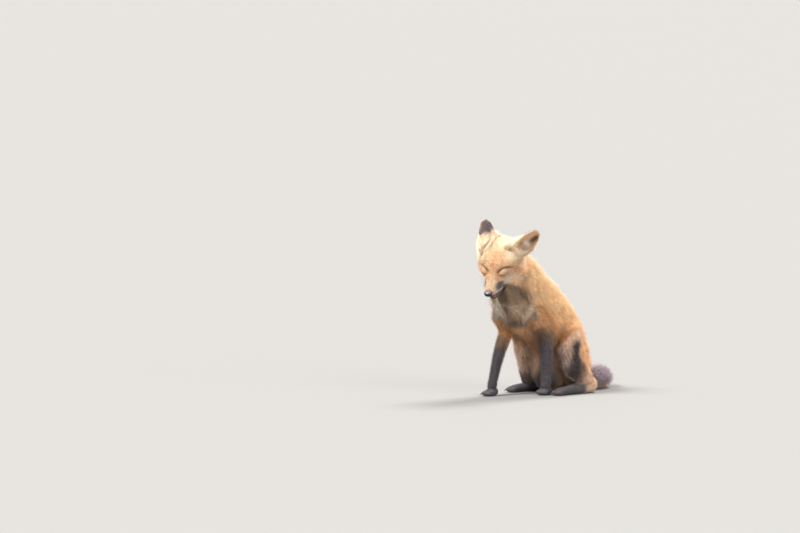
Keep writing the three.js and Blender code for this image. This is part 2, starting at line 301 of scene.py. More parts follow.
def regionDepth(name, points):
    if name in ("head", "jaw"):
        return headDepth(toHead(points))
    depth = np.full(len(points), float(coatRegions[name.split("_")[0]]["depth"]))
    x, y, z = points.T
    if name.startswith("foreleg"):
        depth += 5 * ramp(z, 165, 205)
    if name == "trunk":
        depth += 3 * ramp(z, 170, 215) * ramp(-y, 60, 110)
        depth -= 2 * ramp(-z, -90, -40)
    if name.startswith("hindleg"):
        depth -= 2 * ramp(-z, -75, -40)
    if name == "tail_tip":
        depth -= 6 * ramp(-x, 90, 135)
    return depth


def nearness(distances, spread=4.0):  # how far each node's flesh counts at a point
    shares = {name: np.exp(-np.clip(d, -6, 40) / spread) for name, d in distances.items()}
    total = sum(shares.values())
    return {name: share / total for name, share in shares.items()}


# The skin

skinSizes = {
    "step": 1.5,
    "chestSoftness": 9.0,  # how far the creases of the chest and throat are rounded
    "bodySoftness": 5.0,  # those of the rest of the body
    "faceSoftness": 2.0,  # and those of the face
    "fineSoftness": 1.0,  # and those of the ears and feet
    "earWall": 0.9,  # fur on both faces of the thin ears
    "farthest": 4.5,  # distances beyond this one all count as this
    "nodeReach": 44.0,  # how far from a solid its share of the coat is felt
    "mostTriangles": 132000,  # of the thinned skin, before the face is refined
    "headAbove": 250,  # the head lies above this height and the feet below the next; neither is thinned
    "feetBelow": 24,
}

# The part of the face that is drawn finer, in the head's frame in mm
finerFace = {"side": 56, "back": (0, 88), "up": (-26, 52)}

# Flesh under the fluff that joins the solids: ends and radii of tapered rods, in mm. Those of an ear
# stand in its own frame and those of the head in the head's; the body's are world places.
fleshRods = {
    "ear_right": (
        ((-16, 4, 70), (-25, 4, 44), 2.2, 2.6),
        ((-22, 5, 42), (-37, 8, 8), 3.0, 9.0),
        ((-20, 8, 24), (-30, 12, -4), 6.0, 12),
        ((21, 4, 60), (28, 6, 14), 2.4, 5.5),
        ((28, 6, 14), (24, 6, -22), 5.5, 10),
        ((-8, 14, 30), (14, 18, 6), 6, 9.5),
        ((14, 18, 6), (26, 19, -14), 9.5, 12),
    ),
    "ear_left": (
        ((23, 3, 48), (28, 4, 16), 1.8, 3.6),
        ((-24, 6, 18), (-30, 8, -6), 5, 9),
    ),
    "head": (
        ((7.5, 13, 1), (11, 34, 3), 7.3, 8.6),
        ((-7.5, 13, 1), (-11, 34, 3), 7.3, 8.6),
        ((0, 9, 5.5), (0, 22, 9), 4.6, 6.5),
        ((5, 9, 0.5), (7.5, 14, 1), 5.4, 7.3),
        ((-5, 9, 0.5), (-7.5, 14, 1), 5.4, 7.3),
        ((-34, 100, 52), (-46, 92, 18), 9, 10),
    ),
    "body": (
        ((53, -141, 238), (46, -126, 204), 17, 25),
        ((40, -150, 246), (42, -136, 210), 17, 22),
        ((62, -124, 252), (60, -112, 214), 18, 25),
        ((-4, -146, 240), (-10, -150, 198), 19, 20),
        ((25, -20, 125), (28, -5, 42), 32, 36),
        ((-30, -55, 130), (-12, -60, 178), 16, 30),
        ((-23, -54, 120), (-20, -37, 56), 21, 19),
        ((-20, -37, 56), (-26, -26, 22), 19, 14),
    ),
}


def largestShell(points, quads):  # drops what is shut in inside the body
    label = np.arange(len(points))
    while True:
        lowest = label[quads].min(1)
        renewed = label.copy()
        for k in range(4):
            np.minimum.at(renewed, quads[:, k], lowest)
        renewed = renewed[renewed]
        if (renewed == label).all():
            break
        label = renewed
    main = np.bincount(label).argmax()
    keep = label == main
    renumber = np.cumsum(keep) - 1
    return points[keep], renumber[quads[keep[quads[:, 0]]]]


def capsule(points, start, end, startRadius, endRadius):  # distance to a tapered rod
    start, end = np.array(start, float), np.array(end, float)
    along = end - start
    share = np.clip(((points - start) @ along) / (along @ along), 0, 1)
    gap = np.linalg.norm(points - start - share[:, None] * along, axis=1)
    return gap - blend(startRadius, endRadius, share)


def upsampled(coarse, coarseValues, fine):
    values = coarseValues
    for axis in range(3):
        at = ((np.arange(fine.shape[axis]) + fine.start[axis]) * fine.step) / coarse.step - coarse.start[axis]
        cell = np.clip(np.floor(at).astype(int), 0, values.shape[axis] - 2)
        share = (at - cell).astype(np.float32)
        share = share.reshape([-1 if k == axis else 1 for k in range(3)])
        values = blend(np.take(values, cell, axis), np.take(values, cell + 1, axis), share)
    return values.astype(np.float32)


def carveMouth(grid, values):
    # Hollows the palate above the tongue, so that the open mouth is dark inside.
    part, points = grid.part(fromHead(list(itertools.product((-24, 24), (4, 62), (-30, 4)))))
    local = toHead(points) * np.array((0.72, 1, 1))
    hollow = capsule(local, (0, 14, -11.5), (0, 50, -13), 3.4, 5.0)
    values[part] = np.maximum(values[part], -hollow.reshape(values[part].shape))


def addRods(grid, values):
    frames = {
        "head": fromHead,
        "body": np.asarray,
        "ear_left": lambda points: fromEar("ear_left", points),
        "ear_right": lambda points: fromEar("ear_right", points),
    }
    for place, rods in fleshRods.items():
        for start, end, startRadius, endRadius in rods:
            start, end = frames[place](np.array((start, end), float))
            reach = max(startRadius, endRadius) + 5
            corners = np.array((np.minimum(start, end) - reach, np.maximum(start, end) + reach))
            part, points = grid.part(corners)
            rod = capsule(points, start, end, startRadius, endRadius)
            rod = np.clip(rod, -skinSizes["farthest"], skinSizes["farthest"]).reshape(values[part].shape)
            values[part] = np.minimum(values[part], rod)


# Where a paw stands (under the ball of the foot) and the way it points, in mm and degrees.
pawPlaces = {
    "forepaw_left": {"at": (62.3, -48.3), "heading": 6},
    "forepaw_right": {"at": (-3.7, -169.3), "heading": -4},
    "hindpaw_left": {"at": (96.3, -26.3), "heading": 4},
    "hindpaw_right": {"at": (-40.7, -58.3), "heading": -6},
}
pawSizes = {
    "toeGap": 8.0,
    "outerReach": 17.0,  # how far the toes reach before the ball of the foot
    "innerReach": 22.0,
    "grooveRadius": 1.9,
    "clawLength": 9.0,
    "clawRadius": 1.35,
}


def fromPaw(name, points):  # +Y back along the foot
    place = pawPlaces[name]
    return np.asarray(points) @ turned("z", place["heading"]).T + np.array((*place["at"], 0))


def carveToes(grid, values):
    radius = pawSizes["grooveRadius"]
    for name in pawPlaces:
        part, points = grid.part(fromPaw(name, list(itertools.product((-18, 18), (-30, 4), (0, 26)))))
        for side in (-1, 0, 1):
            x = side * pawSizes["toeGap"]
            ends = fromPaw(name, [(x, -1, 21), (x * 1.1, -15, 13.5), (x * 1.15, -27, 8)])
            for start, end in zip(ends, ends[1:]):
                groove = capsule(points, start, end, radius, radius + 0.5)
                values[part] = np.maximum(values[part], -groove.reshape(values[part].shape))


def addEar(grid, values, name):
    # The thin wall of an ear is measured on a grid twice as fine, and thickened by its fur.
    points, triangles = nodeMesh(name)
    part, _ = grid.part(np.array((points.min(0) - 6, points.max(0) + 6)))
    step = grid.step / 2
    size = tuple(2 * (s.stop - s.start) - 1 for s in part)
    volume = openvdb.FloatGrid.createLevelSetFromPolygons(
        points, triangles=triangles, transform=openvdb.createLinearTransform(step), halfWidth=8.0)
    wall = np.empty(size, np.float32)
    volume.copyToArray(wall, ijk=tuple(int(2 * (s.start + first)) for s, first in zip(part, grid.start)))
    values[part] = np.minimum(values[part], wall[::2, ::2, ::2] - skinSizes["earWall"])


def solveSkin():
    fine = Grid(skinSizes["step"])
    coarse = Grid(4.0, margin=16)
    united = np.full(fine.shape, skinSizes["farthest"], np.float32)
    distances = {}
    for name in fleshNodes + ["eye_left", "eye_right"]:
        points, triangles = nodeMesh(name)
        if name.startswith("ear"):
            addEar(fine, united, name)
        else:
            united = np.minimum(united, fine.distance(points, triangles=triangles))
        if name in fleshNodes:
            distances[name] = coarse.distance(points, triangles=triangles, reach=skinSizes["nodeReach"])
    distances["tongue"] = coarse.distance(*nodeMesh("tongue"), reach=skinSizes["nodeReach"])
    addRods(fine, united)
    closed = 0.4  # wide enough to close the thin cuts between the solids
    points, quads = fine.surface(united, level=closed)
    whole = fine.distance(points, quads=quads.astype(np.uint32), reach=24.0) + closed
    report("the solids are one form")

    spots = coarse.points()
    shares = nearness({name: distances[name].reshape(-1) for name in fleshNodes})
    depth = sum(share * regionDepth(name, spots) for name, share in shares.items())
    local = toHead(spots)
    throat = ramp(-local[:, 2], 12, 40) * ramp(local[:, 1], 40, 70)
    face = shares["head"] * (1 - throat)
    thinParts = ("jaw", "ear", "forepaw", "hindpaw")
    thin = sum(share for name, share in shares.items() if name.startswith(thinParts))
    spread = lambda values: upsampled(coarse, values.reshape(coarse.shape).astype(np.float32), fine)
    field = softened(whole, skinSizes["bodySoftness"] / fine.step)
    chest = fine.read(whole, np.clip(spots, *fine.ends())).reshape(coarse.shape).astype(np.float32)
    chest = softened(chest, skinSizes["chestSoftness"] / coarse.step)
    field = blend(field, spread(chest), spread(ramp(spots[:, 2], 160, 195)))
    softFace = softened(whole, skinSizes["faceSoftness"] / fine.step)
    field = blend(field, softFace, spread(face / (1.001 - thin)))
    softDetail = softened(whole, skinSizes["fineSoftness"] / fine.step)
    field = blend(field, softDetail, spread(thin)) + spread(depth)
    carveMouth(fine, field)
    carveToes(fine, field)
    report("the skin is found under the coat")
    return fine, field, coarse, distances


def meshObject(name, points, faces):
    mesh = bpy.data.meshes.new(name)
    sides = faces.shape[1]
    mesh.vertices.add(len(points))
    mesh.vertices.foreach_set("co", (points * mm).astype(np.float32).ravel())
    mesh.loops.add(faces.size)
    mesh.loops.foreach_set("vertex_index", faces.astype(np.int32).ravel())
    mesh.polygons.add(len(faces))
    mesh.polygons.foreach_set("loop_start", np.arange(0, faces.size, sides, dtype=np.int32))
    mesh.polygons.foreach_set("use_smooth", np.ones(len(faces), bool))
    mesh.update(calc_edges=True)
    thing = bpy.data.objects.new(name, mesh)
    bpy.context.scene.collection.objects.link(thing)
    return thing


def vertexPoints(mesh):
    points = np.empty(len(mesh.vertices) * 3, np.float32)
    mesh.vertices.foreach_get("co", points)
    return points.reshape(-1, 3).astype(float) / mm


def vertexNormals(mesh):
    normals = np.empty(len(mesh.vertices) * 3, np.float32)
    mesh.vertex_normals.foreach_get("vector", normals)
    return normals.reshape(-1, 3).astype(float)


def bakedModifiers(thing):  # the same object with its modifiers made real
    graph = bpy.context.evaluated_depsgraph_get()
    mesh = bpy.data.meshes.new_from_object(thing.evaluated_get(graph))
    thing.modifiers.clear()
    thing.data = mesh
    return thing


def thinned(skin):  # fewer faces on the body, none taken from the face, ears and feet
    points = vertexPoints(skin.data)
    local = toHead(points)
    kept = (local[:, 2] > -30) & (local[:, 1] < 150) & (points[:, 2] > skinSizes["headAbove"])
    kept |= points[:, 2] < skinSizes["feetBelow"]
    group = skin.vertex_groups.new(name="body")
    group.add([int(k) for k in np.flatnonzero(~kept)], 1.0, "REPLACE")
    triangles = sum(len(p.vertices) - 2 for p in skin.data.polygons)
    fewer = skin.modifiers.new("fewer faces", "DECIMATE")
    fewer.ratio = min(1.0, skinSizes["mostTriangles"] / triangles)
    fewer.vertex_group = "body"
    bakedModifiers(skin)
    skin.vertex_groups.clear()


def refinedFace(skin):  # halves the faces between the nose, the brow and the cheeks
    shape = bmesh.new()
    shape.from_mesh(skin.data)
    (front, rear), (bottom, top) = finerFace["back"], finerFace["up"]
    edges = []
    for edge in shape.edges:
        x, y, z = toHead(np.array((edge.verts[0].co + edge.verts[1].co) / (2 * mm)))
        if front < y < rear and bottom < z < top and abs(x) < finerFace["side"]:
            edges.append(edge)
    bmesh.ops.subdivide_edges(shape, edges=edges, cuts=1, use_grid_fill=True)
    bmesh.ops.triangulate(shape, faces=[f for f in shape.faces if len(f.verts) > 4])
    shape.to_mesh(skin.data)
    shape.free()


def settle(skin, grid, field, rounds=2):  # puts every point back on the skin's true form
    points = vertexPoints(skin.data)
    for _ in range(rounds):
        off = grid.read(field, points)[:, None]
        points -= grid.slope(field, points) * np.clip(off, -1.5, 1.5)
    skin.data.vertices.foreach_set("co", (points * mm).astype(np.float32).ravel())
    skin.data.update()


# The face's folds: lines in the head's frame, for the left side, in mm

faceLines = {
    "slit": ((13.5, 52.5, 28.5), (19, 58.5, 32.5), (27, 64.5, 33.5), (34.5, 71, 32), (40, 76, 28)),
    "lidFold": ((17, 47.5, 21), (24, 49, 15.5), (33, 56, 12), (41, 65, 12.5), (46, 74, 18)),
    "tearLine": ((13.5, 52.5, 28.5), (12.5, 46, 22), (13.5, 38, 14)),
    "browFold": ((40, 76, 28), (45, 80.5, 23), (48, 84, 17)),
}


def smoothLine(corners, count=40):  # a curve through the corners
    corners = np.array(corners, float)
    ends = np.vstack((2 * corners[0] - corners[1], corners, 2 * corners[-1] - corners[-2]))
    line = []
    for k in range(1, len(ends) - 2):
        a, b, c, d = ends[k - 1:k + 3]
        for t in np.linspace(0, 1, count // (len(corners) - 1) + 1)[:-1]:
            line.append(0.5 * (2 * b + (c - a) * t + (2 * a - 5 * b + 4 * c - d) * t**2
                               + (3 * b - a - 3 * c + d) * t**3))
    line.append(corners[-1])
    return np.array(line)


def lineDistance(points, line):  # distance to a line, and how far along it from 0 to 1
    best = np.full(len(points), 1e9)
    share = np.zeros(len(points))
    for k in range(len(line) - 1):
        along = line[k + 1] - line[k]
        t = np.clip(((points - line[k]) @ along) / (along @ along), 0, 1)
        gap = np.linalg.norm(points - line[k] - t[:, None] * along, axis=1)
        nearer = gap < best
        best[nearer] = gap[nearer]
        share[nearer] = (k + t[nearer]) / (len(line) - 1)
    return best, share


def faceDistances(points):
    # For points of the skin, the distance to each fold on their own side of the face.
    local = toHead(points)
    local[:, 0] = np.abs(local[:, 0])
    near = (local[:, 1] < 110) & (local[:, 2] > -30) & (local[:, 2] < 60)
    found = {}
    for name, corners in faceLines.items():
        gap = np.full(len(points), 99.0)
        share = np.zeros(len(points))
        gap[near], share[near] = lineDistance(local[near], smoothLine(corners))
        found[name] = (gap, share)
    return local, found


def sculptFace(skin):
    points, normals = vertexPoints(skin.data), vertexNormals(skin.data)
    local, folds = faceDistances(points)
    x, y, z = local.T
    lidBulge = hill(x - 30, 15) * hill(y - 61, 15) * hill(z - 22.5, 8.5)
    browRidge = hill(x - 24, 15) * hill(y - 68, 11) * hill(z - 39, 5.5)
    socket = hill(x - 13, 5) * hill(y - 52, 7) * hill(z - 22, 7)
    push = 1.3 * lidBulge + 1.8 * browRidge - 2.0 * socket
    slit, along = folds["slit"]
    slitWidth = 1.25 + 0.6 * ramp(0.5 - along, 0, 0.4)
    push -= 3.0 * hill(slit, slitWidth) * ramp(along, 0, 0.08) * ramp(1 - along, 0, 0.2)
    push -= 1.2 * hill(folds["lidFold"][0], 2.4)
    push -= 1.0 * hill(folds["tearLine"][0], 2.6)
    push -= 0.9 * hill(folds["browFold"][0], 2.0)
    points += normals * push[:, None]
    skin.data.vertices.foreach_set("co", (points * mm).astype(np.float32).ravel())
    skin.data.update()


def unwrapped(thing):  # an unwrap of the object's own shape, in the OFBake layer
    thing.data.uv_layers.new(name="OFBake")
    bpy.context.view_layer.objects.active = thing
    thing.select_set(True)
    bpy.ops.object.mode_set(mode="EDIT")
    bpy.ops.mesh.select_all(action="SELECT")
    bpy.ops.uv.smart_project(angle_limit=math.radians(66), island_margin=0.002)
    bpy.ops.object.mode_set(mode="OBJECT")
    thing.select_set(False)


skinGrid, skinField, coarseGrid, nodeDistances = solveSkin()
skinPoints, skinQuads = largestShell(*skinGrid.surface(skinField))
skin = meshObject("fox_skin", skinPoints, skinQuads)
report(f"skin drawn with {len(skinQuads)} faces")
thinned(skin)
refinedFace(skin)
settle(skin, skinGrid, skinField)
sculptFace(skin)
report(f"face and body settled, {sum(len(p.vertices) - 2 for p in skin.data.polygons)} triangles")
unwrapped(skin)
report("skin unwrapped")


# What the coat is like at each point of the skin

shades = {
    "backGold": colour(255, 219, 167),
    "bodyOrange": colour(232, 164, 104),
    # painted shadow for the lower flank
    "flankShadow": colour(138, 80, 38),
    "cream": colour(208, 180, 150),
    "sand": colour(200, 168, 130),
    # rusty brow speckles, also used for painted shade in the face's folds
    "browRustAndShade": colour(188, 126, 84),
    "cheekTan": colour(214, 166, 122),
    "white": colour(250, 236, 220),
    "lipGrey": colour(206, 188, 190),
    "soot": colour(92, 86, 90),
    "whisker": colour(84, 74, 77),
    "lip": colour(92, 62, 58),
    "chin": colour(128, 112, 102),
    "sootBrown": colour(112, 88, 74),
    # dark dusky fur, also used for a painted shadow under the chest
    "dusk": colour(142, 116, 90),
    "duskDarkAndShadow": colour(100, 78, 60),
    "blond": colour(216, 188, 152),
    "belly": colour(222, 190, 172),
    # dark streaks of the belly and legs, also used for a painted shadow between belly and thigh
    "bellyDarkAndShadow": colour(104, 82, 72),
    "chestTan": colour(164, 136, 110),
    "thighGrey": colour(176, 148, 134),
    "thighTan": colour(255, 214, 180),
    "thighPale": colour(246, 222, 208),
    "rustDark": colour(112, 76, 58),
    "tailDusk": colour(130, 114, 122),
    "tailDark": colour(74, 60, 60),
    "buff": colour(224, 182, 138),
    "earBack": colour(106, 92, 92),
    # painted rim light on the ears' edges
    "earRimLight": colour(255, 232, 198),
    # pale fur, partly painted sunlight
    "earPaleSunlit": colour(255, 230, 196),
    "earInside": colour(230, 186, 150),
    # painted shade inside the ears
    "earInsideShade": colour(108, 76, 56),
    "earFluff": colour(255, 234, 210),
    "lidPink": colour(182, 130, 100),
    "black": colour(24, 20, 21),
}


def paint(base, shade, share):
    return base + (shades[shade] - base) * np.reshape(np.clip(share, 0, 1), (-1, 1))


def headMarkings(points, folds, local, mouthGap):
    x, y, z = local.T  # x is folded to the left side
    rgb = np.tile(shades["sand"], (len(points), 1))
    rgb = paint(rgb, "cream", 0.7 * ramp(z, 30, 58) * ramp(y, 66, 96))
    # pale fluff by the ears' feet, painted brighter as sunlight over the crease
    rgb = paint(rgb, "earPaleSunlit", 0.85 * ramp(x, 14, 34) * ramp(z, 30, 46) * ramp(y, 72, 92))
    speckle = 0.5 + 0.5 * noise(points, 3.2, 5)
    brow = hill(x, 15) * ramp(y, 42, 56) * ramp(-y, -112, -84) * ramp(z, 20, 30)
    rgb = paint(rgb, "browRustAndShade", brow * (0.1 + 0.5 * speckle))
    rgb = paint(rgb, "cream", 0.5 * ramp(-y, -46, -24) * ramp(z, 3, 13))  # the bridge of the nose
    rgb = paint(rgb, "lidPink", 0.9 * hill(x - 29, 13) * hill(y - 60, 14) * hill(z - 22, 8))
    # painted shade along the folds: the tear line, the brow fold and the lid fold
    rgb = paint(rgb, "browRustAndShade", 0.7 * hill(folds["tearLine"][0], 4.5))
    rgb = paint(rgb, "browRustAndShade", 0.5 * hill(folds["browFold"][0], 4.0))
    rgb = paint(rgb, "browRustAndShade", 0.3 * hill(folds["lidFold"][0], 3.5))
    # The cheeks: pale behind the mouth's corner, then tan, then the dusky throat
    rgb = paint(rgb, "cheekTan", ramp(y, 56, 74) * ramp(-z, -14, 4))
    rgb = paint(rgb, "white", 0.8 * hill(y - 58, 17) * hill(z + 1, 13) * ramp(x, 12, 20))
    band = hill(z + 6 + 0.45 * (y - 66), 10)
    rgb = paint(rgb, "cream", 0.6 * band * ramp(y, 60, 74) * ramp(-y, -106, -86))
    rgb = paint(rgb, "white", 0.85 * ramp(-z, 0, 6) * ramp(-y, -60, -44) * ramp(z, -17, -11))
    rgb = paint(rgb, "bodyOrange", 0.7 * ramp(y, 88, 104) * ramp(-z, 14, 30) * ramp(x, 44, 60))
    below = ramp(-(z + 14 + 0.8 * np.clip(y - 57, 0, 40)), -3, 9)
    under = below * np.maximum(ramp(y, 42, 54), ramp(-z, 16, 24)) * ramp(-x, -70, -52)
    rgb = paint(rgb, "dusk", 0.95 * under)
    rgb = paint(rgb, "duskDarkAndShadow", 0.6 * under * ramp(speckle, 0.4, 0.8))
    rgb = paint(rgb, "browRustAndShade", 0.6 * hill(y - 76, 13) * hill(z - 17, 11) * ramp(x, 34, 44))
    # The dark patch on the side of the muzzle
    rgb = paint(rgb, "lipGrey", 0.75 * hill(y - 20, 9) * hill(z + 2, 6) * ramp(x, 6, 10))
    patch = 1 - ramp(np.hypot((y - 33) / 16.5, (z - 2.5) / 10), 0.5, 1.15)
    rgb = paint(rgb, "whisker", (0.72 + 0.26 * speckle) * patch * ramp(x, 6.5, 11))
    slit, along = folds["slit"]
    # painted shade: the brow's shadow round the eye slit
    rgb = paint(rgb, "browRustAndShade", 0.8 * hill(slit, 3.4) * ramp(1 - along, 0, 0.15))
    slitWidth = 1.5 + 0.9 * ramp(0.5 - along, 0, 0.4)
    # the slit: dark lid edges, and painted shade between the lids
    rgb = paint(rgb, "black", 1.4 * hill(slit, slitWidth) * ramp(1 - along, 0, 0.12))
    # black lips, and painted shade inside the open mouth
    return paint(rgb, "black", (1 - ramp(mouthGap, 0.8, 2.2)) * ramp(-y, -58, -52))


def earMarkings(name, points, normals):
    local = toEar(name, points)
    facing = normals @ headAxes.T @ earTurn(earPose[name])
    x, y, z = local.T
    rise = z / earSizes["length"]
    inner = ramp(-(facing[:, 0] * x + facing[:, 1] * y) / np.maximum(np.hypot(x, y), 1), -0.1, 0.3)
    half = earSizes["width"] / 2 * (1 - 0.75 * ramp(rise, 0.35, 1.05) ** 1.3)
    # painted rim light: the ear's edges and its tip made paler, where light catches them
    rim = ramp(np.abs(x) / half, 0.76, 0.96) * ramp(-y, -8, 2)
    rim = np.maximum(rim, 0.9 * ramp(rise, 0.93, 1.0))
    # pale fur at the ear's foot, painted brighter as sunlight
    outside = np.tile(shades["earPaleSunlit"], (len(points), 1))
    outside = paint(outside, "earBack", ramp(rise + 0.04 * noise(points, 7, 3), 0.5, 0.62))
    outside = paint(outside, "earRimLight", 0.7 * rim)
    side = earPose[name]["side"]
    inside = np.tile(shades["earInside"], (len(points), 1))
    inside = paint(inside, "buff", 0.7 * ramp(-side * x, 2, 12))
    # painted shade: a darker fold inside the ear, and the hollow at its foot darker still
    strip = hill(side * x - 12, 5) * ramp(rise, 0.2, 0.36) * ramp(-rise, -0.86, -0.7)
    inside = paint(inside, "earInsideShade", 1.1 * strip)
    inside = paint(inside, "earInsideShade", hill(side * x - 8, 8) * ramp(-z, -4, 8))
    inside = paint(inside, "earFluff", 1.2 * hill(side * x - 8, 8) * hill(z - 23, 10))
    inside = paint(inside, "earRimLight", 0.75 * rim)
    return blend(outside, inside, inner[:, None]), inner


def bodyMarkings(points, normals):
    x, low = points[:, 0], points[:, 2] - 12  # low is where the tips of the hair hang
    oy = normals[:, 1]  # how far the skin faces the fox's back
    streak = 0.5 + 0.5 * noise(points * np.array((1, 1, 0.25)), 7, 51)
    rgb = np.tile(shades["backGold"], (len(points), 1))
    rgb = paint(rgb, "bodyOrange", 0.4 * ramp(-low, -250, -150) + 0.15 * (1 + noise(points, 26, 11)))
    # painted shadow: the lower flank darker, where shade falls ahead of the thigh
    rgb = paint(rgb, "flankShadow", 1.0 * ramp(-low, -184, -140) * ramp(-oy, -0.3, 0.3))
    under = ramp(-oy, -0.2, 0.4) * ramp(-low, -124, -96)
    rgb = paint(rgb, "belly", 0.9 * under)
    rgb = paint(rgb, "bellyDarkAndShadow", 0.7 * under * ramp(streak, 0.5, 0.75))
    between = ramp(-oy, 0.2, 0.7) * ramp(-low, -186, -170) * ramp(-x, -78, -60)
    rgb = paint(rgb, "cheekTan", 0.5 * between)
    return paint(rgb, "thighPale", 0.6 * between * ramp(1 - streak, 0.6, 0.8))


def chestMarkings(rgb, points):
    x, y, z = points.T
    low = z - 12
    front = ramp(-y - 0.35 * (low - 188), 78, 110) * ramp(low, 178, 192)
    streak = 0.5 + 0.5 * noise(points * np.array((1, 1, 0.3)), 6, 21)
    patchy = 0.5 + 0.5 * noise(points, 17, 8)
    throat = ramp(low + 14 * patchy, 216, 236) * (1 - 0.55 * ramp(x, 52, 76))
    rgb = paint(rgb, "chestTan", 0.95 * front)
    rgb = paint(rgb, "blond", 0.45 * front * ramp(streak, 0.5, 0.8))
    rgb = paint(rgb, "duskDarkAndShadow", 0.7 * front * ramp(1 - streak, 0.55, 0.8))
    rgb = paint(rgb, "dusk", 0.85 * front * throat)
    rgb = paint(rgb, "duskDarkAndShadow", front * throat * (0.15 + 0.6 * ramp(patchy, 0.5, 0.8)))
    rgb = paint(rgb, "blond", 0.45 * front * throat * ramp(streak, 0.6, 0.85))
    across = ramp(x, -10, 0) * ramp(-x, -74, -58)
    # painted shadow: a dark band under the chest, above the forelegs
    rgb = paint(rgb, "duskDarkAndShadow", hill(low - 191, 8) * ramp(-y, 82, 100) * across)
    for spot, size in (((88, -114, 224), 17), ((-2, -158, 222), 29)):
        gap = np.linalg.norm((points - np.array(spot)) * np.array((1, 1, 0.7)), axis=1)
        rgb = paint(rgb, "white", (0.7 + 0.8 * streak) * hill(gap, size))
    return rgb


def legMarkings(name, points, normals):
    y, z = points[:, 1], points[:, 2]
    ox, oy = normals[:, 0], normals[:, 1]
    side = 1 if name.endswith("left") else -1
    if name.startswith("fore"):
        behind = ramp(0.8 * oy - 0.5 * side * ox, 0.2, 0.8)
        top = blend(152 + 12 * side, 112, behind) + 10 * noise(points, 9, 4)
        rgb = np.tile(shades["bodyOrange"], (len(points), 1))
        rgb = paint(rgb, "cheekTan", 0.5 * ramp(z, 165, 190) + 0.4 * ramp(-oy, 0, 0.7))
        rgb = paint(rgb, "sootBrown", 0.85 * ramp(-(z - top), -24, 4))
        rgb = paint(rgb, "soot", ramp(-(z - top), 4, 34))
        # painted light and shade: the left stocking a little lighter, the right one a little darker
        return rgb * (1 + 0.1 * side * ramp(-(z - top), 4, 34))[:, None]
    low = z - 7
    rgb = np.tile(shades["thighTan"], (len(points), 1))
    streak = 0.5 + 0.5 * noise(points * np.array((1, 1, 0.3)), 7, 31)
    front = ramp(-oy, -0.3, 0.4)
    rgb = paint(rgb, "bodyOrange", 0.45 * ramp(oy, 0.2, 0.8))
    if side < 0:
        rgb = paint(rgb, "bodyOrange", 0.6 * ramp(-ox, 0.2, 0.8) * ramp(low, 30, 90))
        rgb = paint(rgb, "backGold", 0.8 * ramp(-oy, 0.2, 0.7) * ramp(low, 90, 120))
        rgb = paint(rgb, "thighPale", ramp(-ox, -0.4, 0.2) * ramp(-oy, 0.0, 0.45))
        rgb = paint(rgb, "bellyDarkAndShadow", 0.45 * front * ramp(1 - streak, 0.55, 0.8) * ramp(-low, -118, -90))
        return paint(rgb, "bellyDarkAndShadow", 0.8 * ramp(-low, -66, -40))
    rgb = paint(rgb, "thighGrey", 0.6 * ramp(-low, -140, -110) * front)
    rgb = paint(rgb, "thighPale", 0.6 * ramp(streak, 0.5, 0.85) * front * ramp(-low, -160, -110))
    rgb = paint(rgb, "bellyDarkAndShadow", 0.6 * ramp(1 - streak, 0.5, 0.85) * front * ramp(-low, -130, -90))
    # painted shadow between the belly and the front of the thigh
    rgb = paint(rgb, "bellyDarkAndShadow", 0.8 * ramp(-y, 12, 24) * ramp(-low, -130, -110))
    rgb = paint(rgb, "bellyDarkAndShadow", 0.8 * hill(y + 10, 10) * ramp(-low, -80, -58))
    middle = blend(15, 8, ramp(-low, -120, -60))
    width = blend(13, 18, ramp(-low, -110, -70))
    dark = hill(y - middle, width) * ramp(-low, -144, -120) * ramp(low, 20, 32)
    rgb = paint(rgb, "tailDark", 1.4 * dark * ramp(ox, -0.1, 0.5))
    rgb = paint(rgb, "black", 0.35 * dark * ramp(ox, -0.1, 0.5))
    return paint(rgb, "rustDark", 0.9 * hill(y - 37, 11) * hill(low - 64, 22))


def pawMarkings(name, points):
    rgb = np.tile(shades["soot"], (len(points), 1))
    if name.startswith("hind"):
        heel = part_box(name)[1][1] / mm
        rgb = paint(rgb, "thighTan", 0.95 * ramp(points[:, 1], heel - 54, heel - 34))
    return rgb


def tailMarkings(points, normals):
    streak = 0.5 + 0.5 * noise(points * np.array((0.4, 1, 1)), 8, 17)
    rgb = np.tile(shades["tailDusk"], (len(points), 1))
    rgb = paint(rgb, "tailDark", 0.7 * ramp(streak, 0.45, 0.85))
    rgb = paint(rgb, "buff", 0.6 * ramp(-normals[:, 2], 0.5, 0.9))
    return paint(rgb, "white", 0.85 * ramp(-points[:, 0], 112, 126))


def readShares(points):
    distances = {name: coarseGrid.read(values, points) for name, values in nodeDistances.items()}
    return distances, nearness({name: distances[name] for name in fleshNodes})


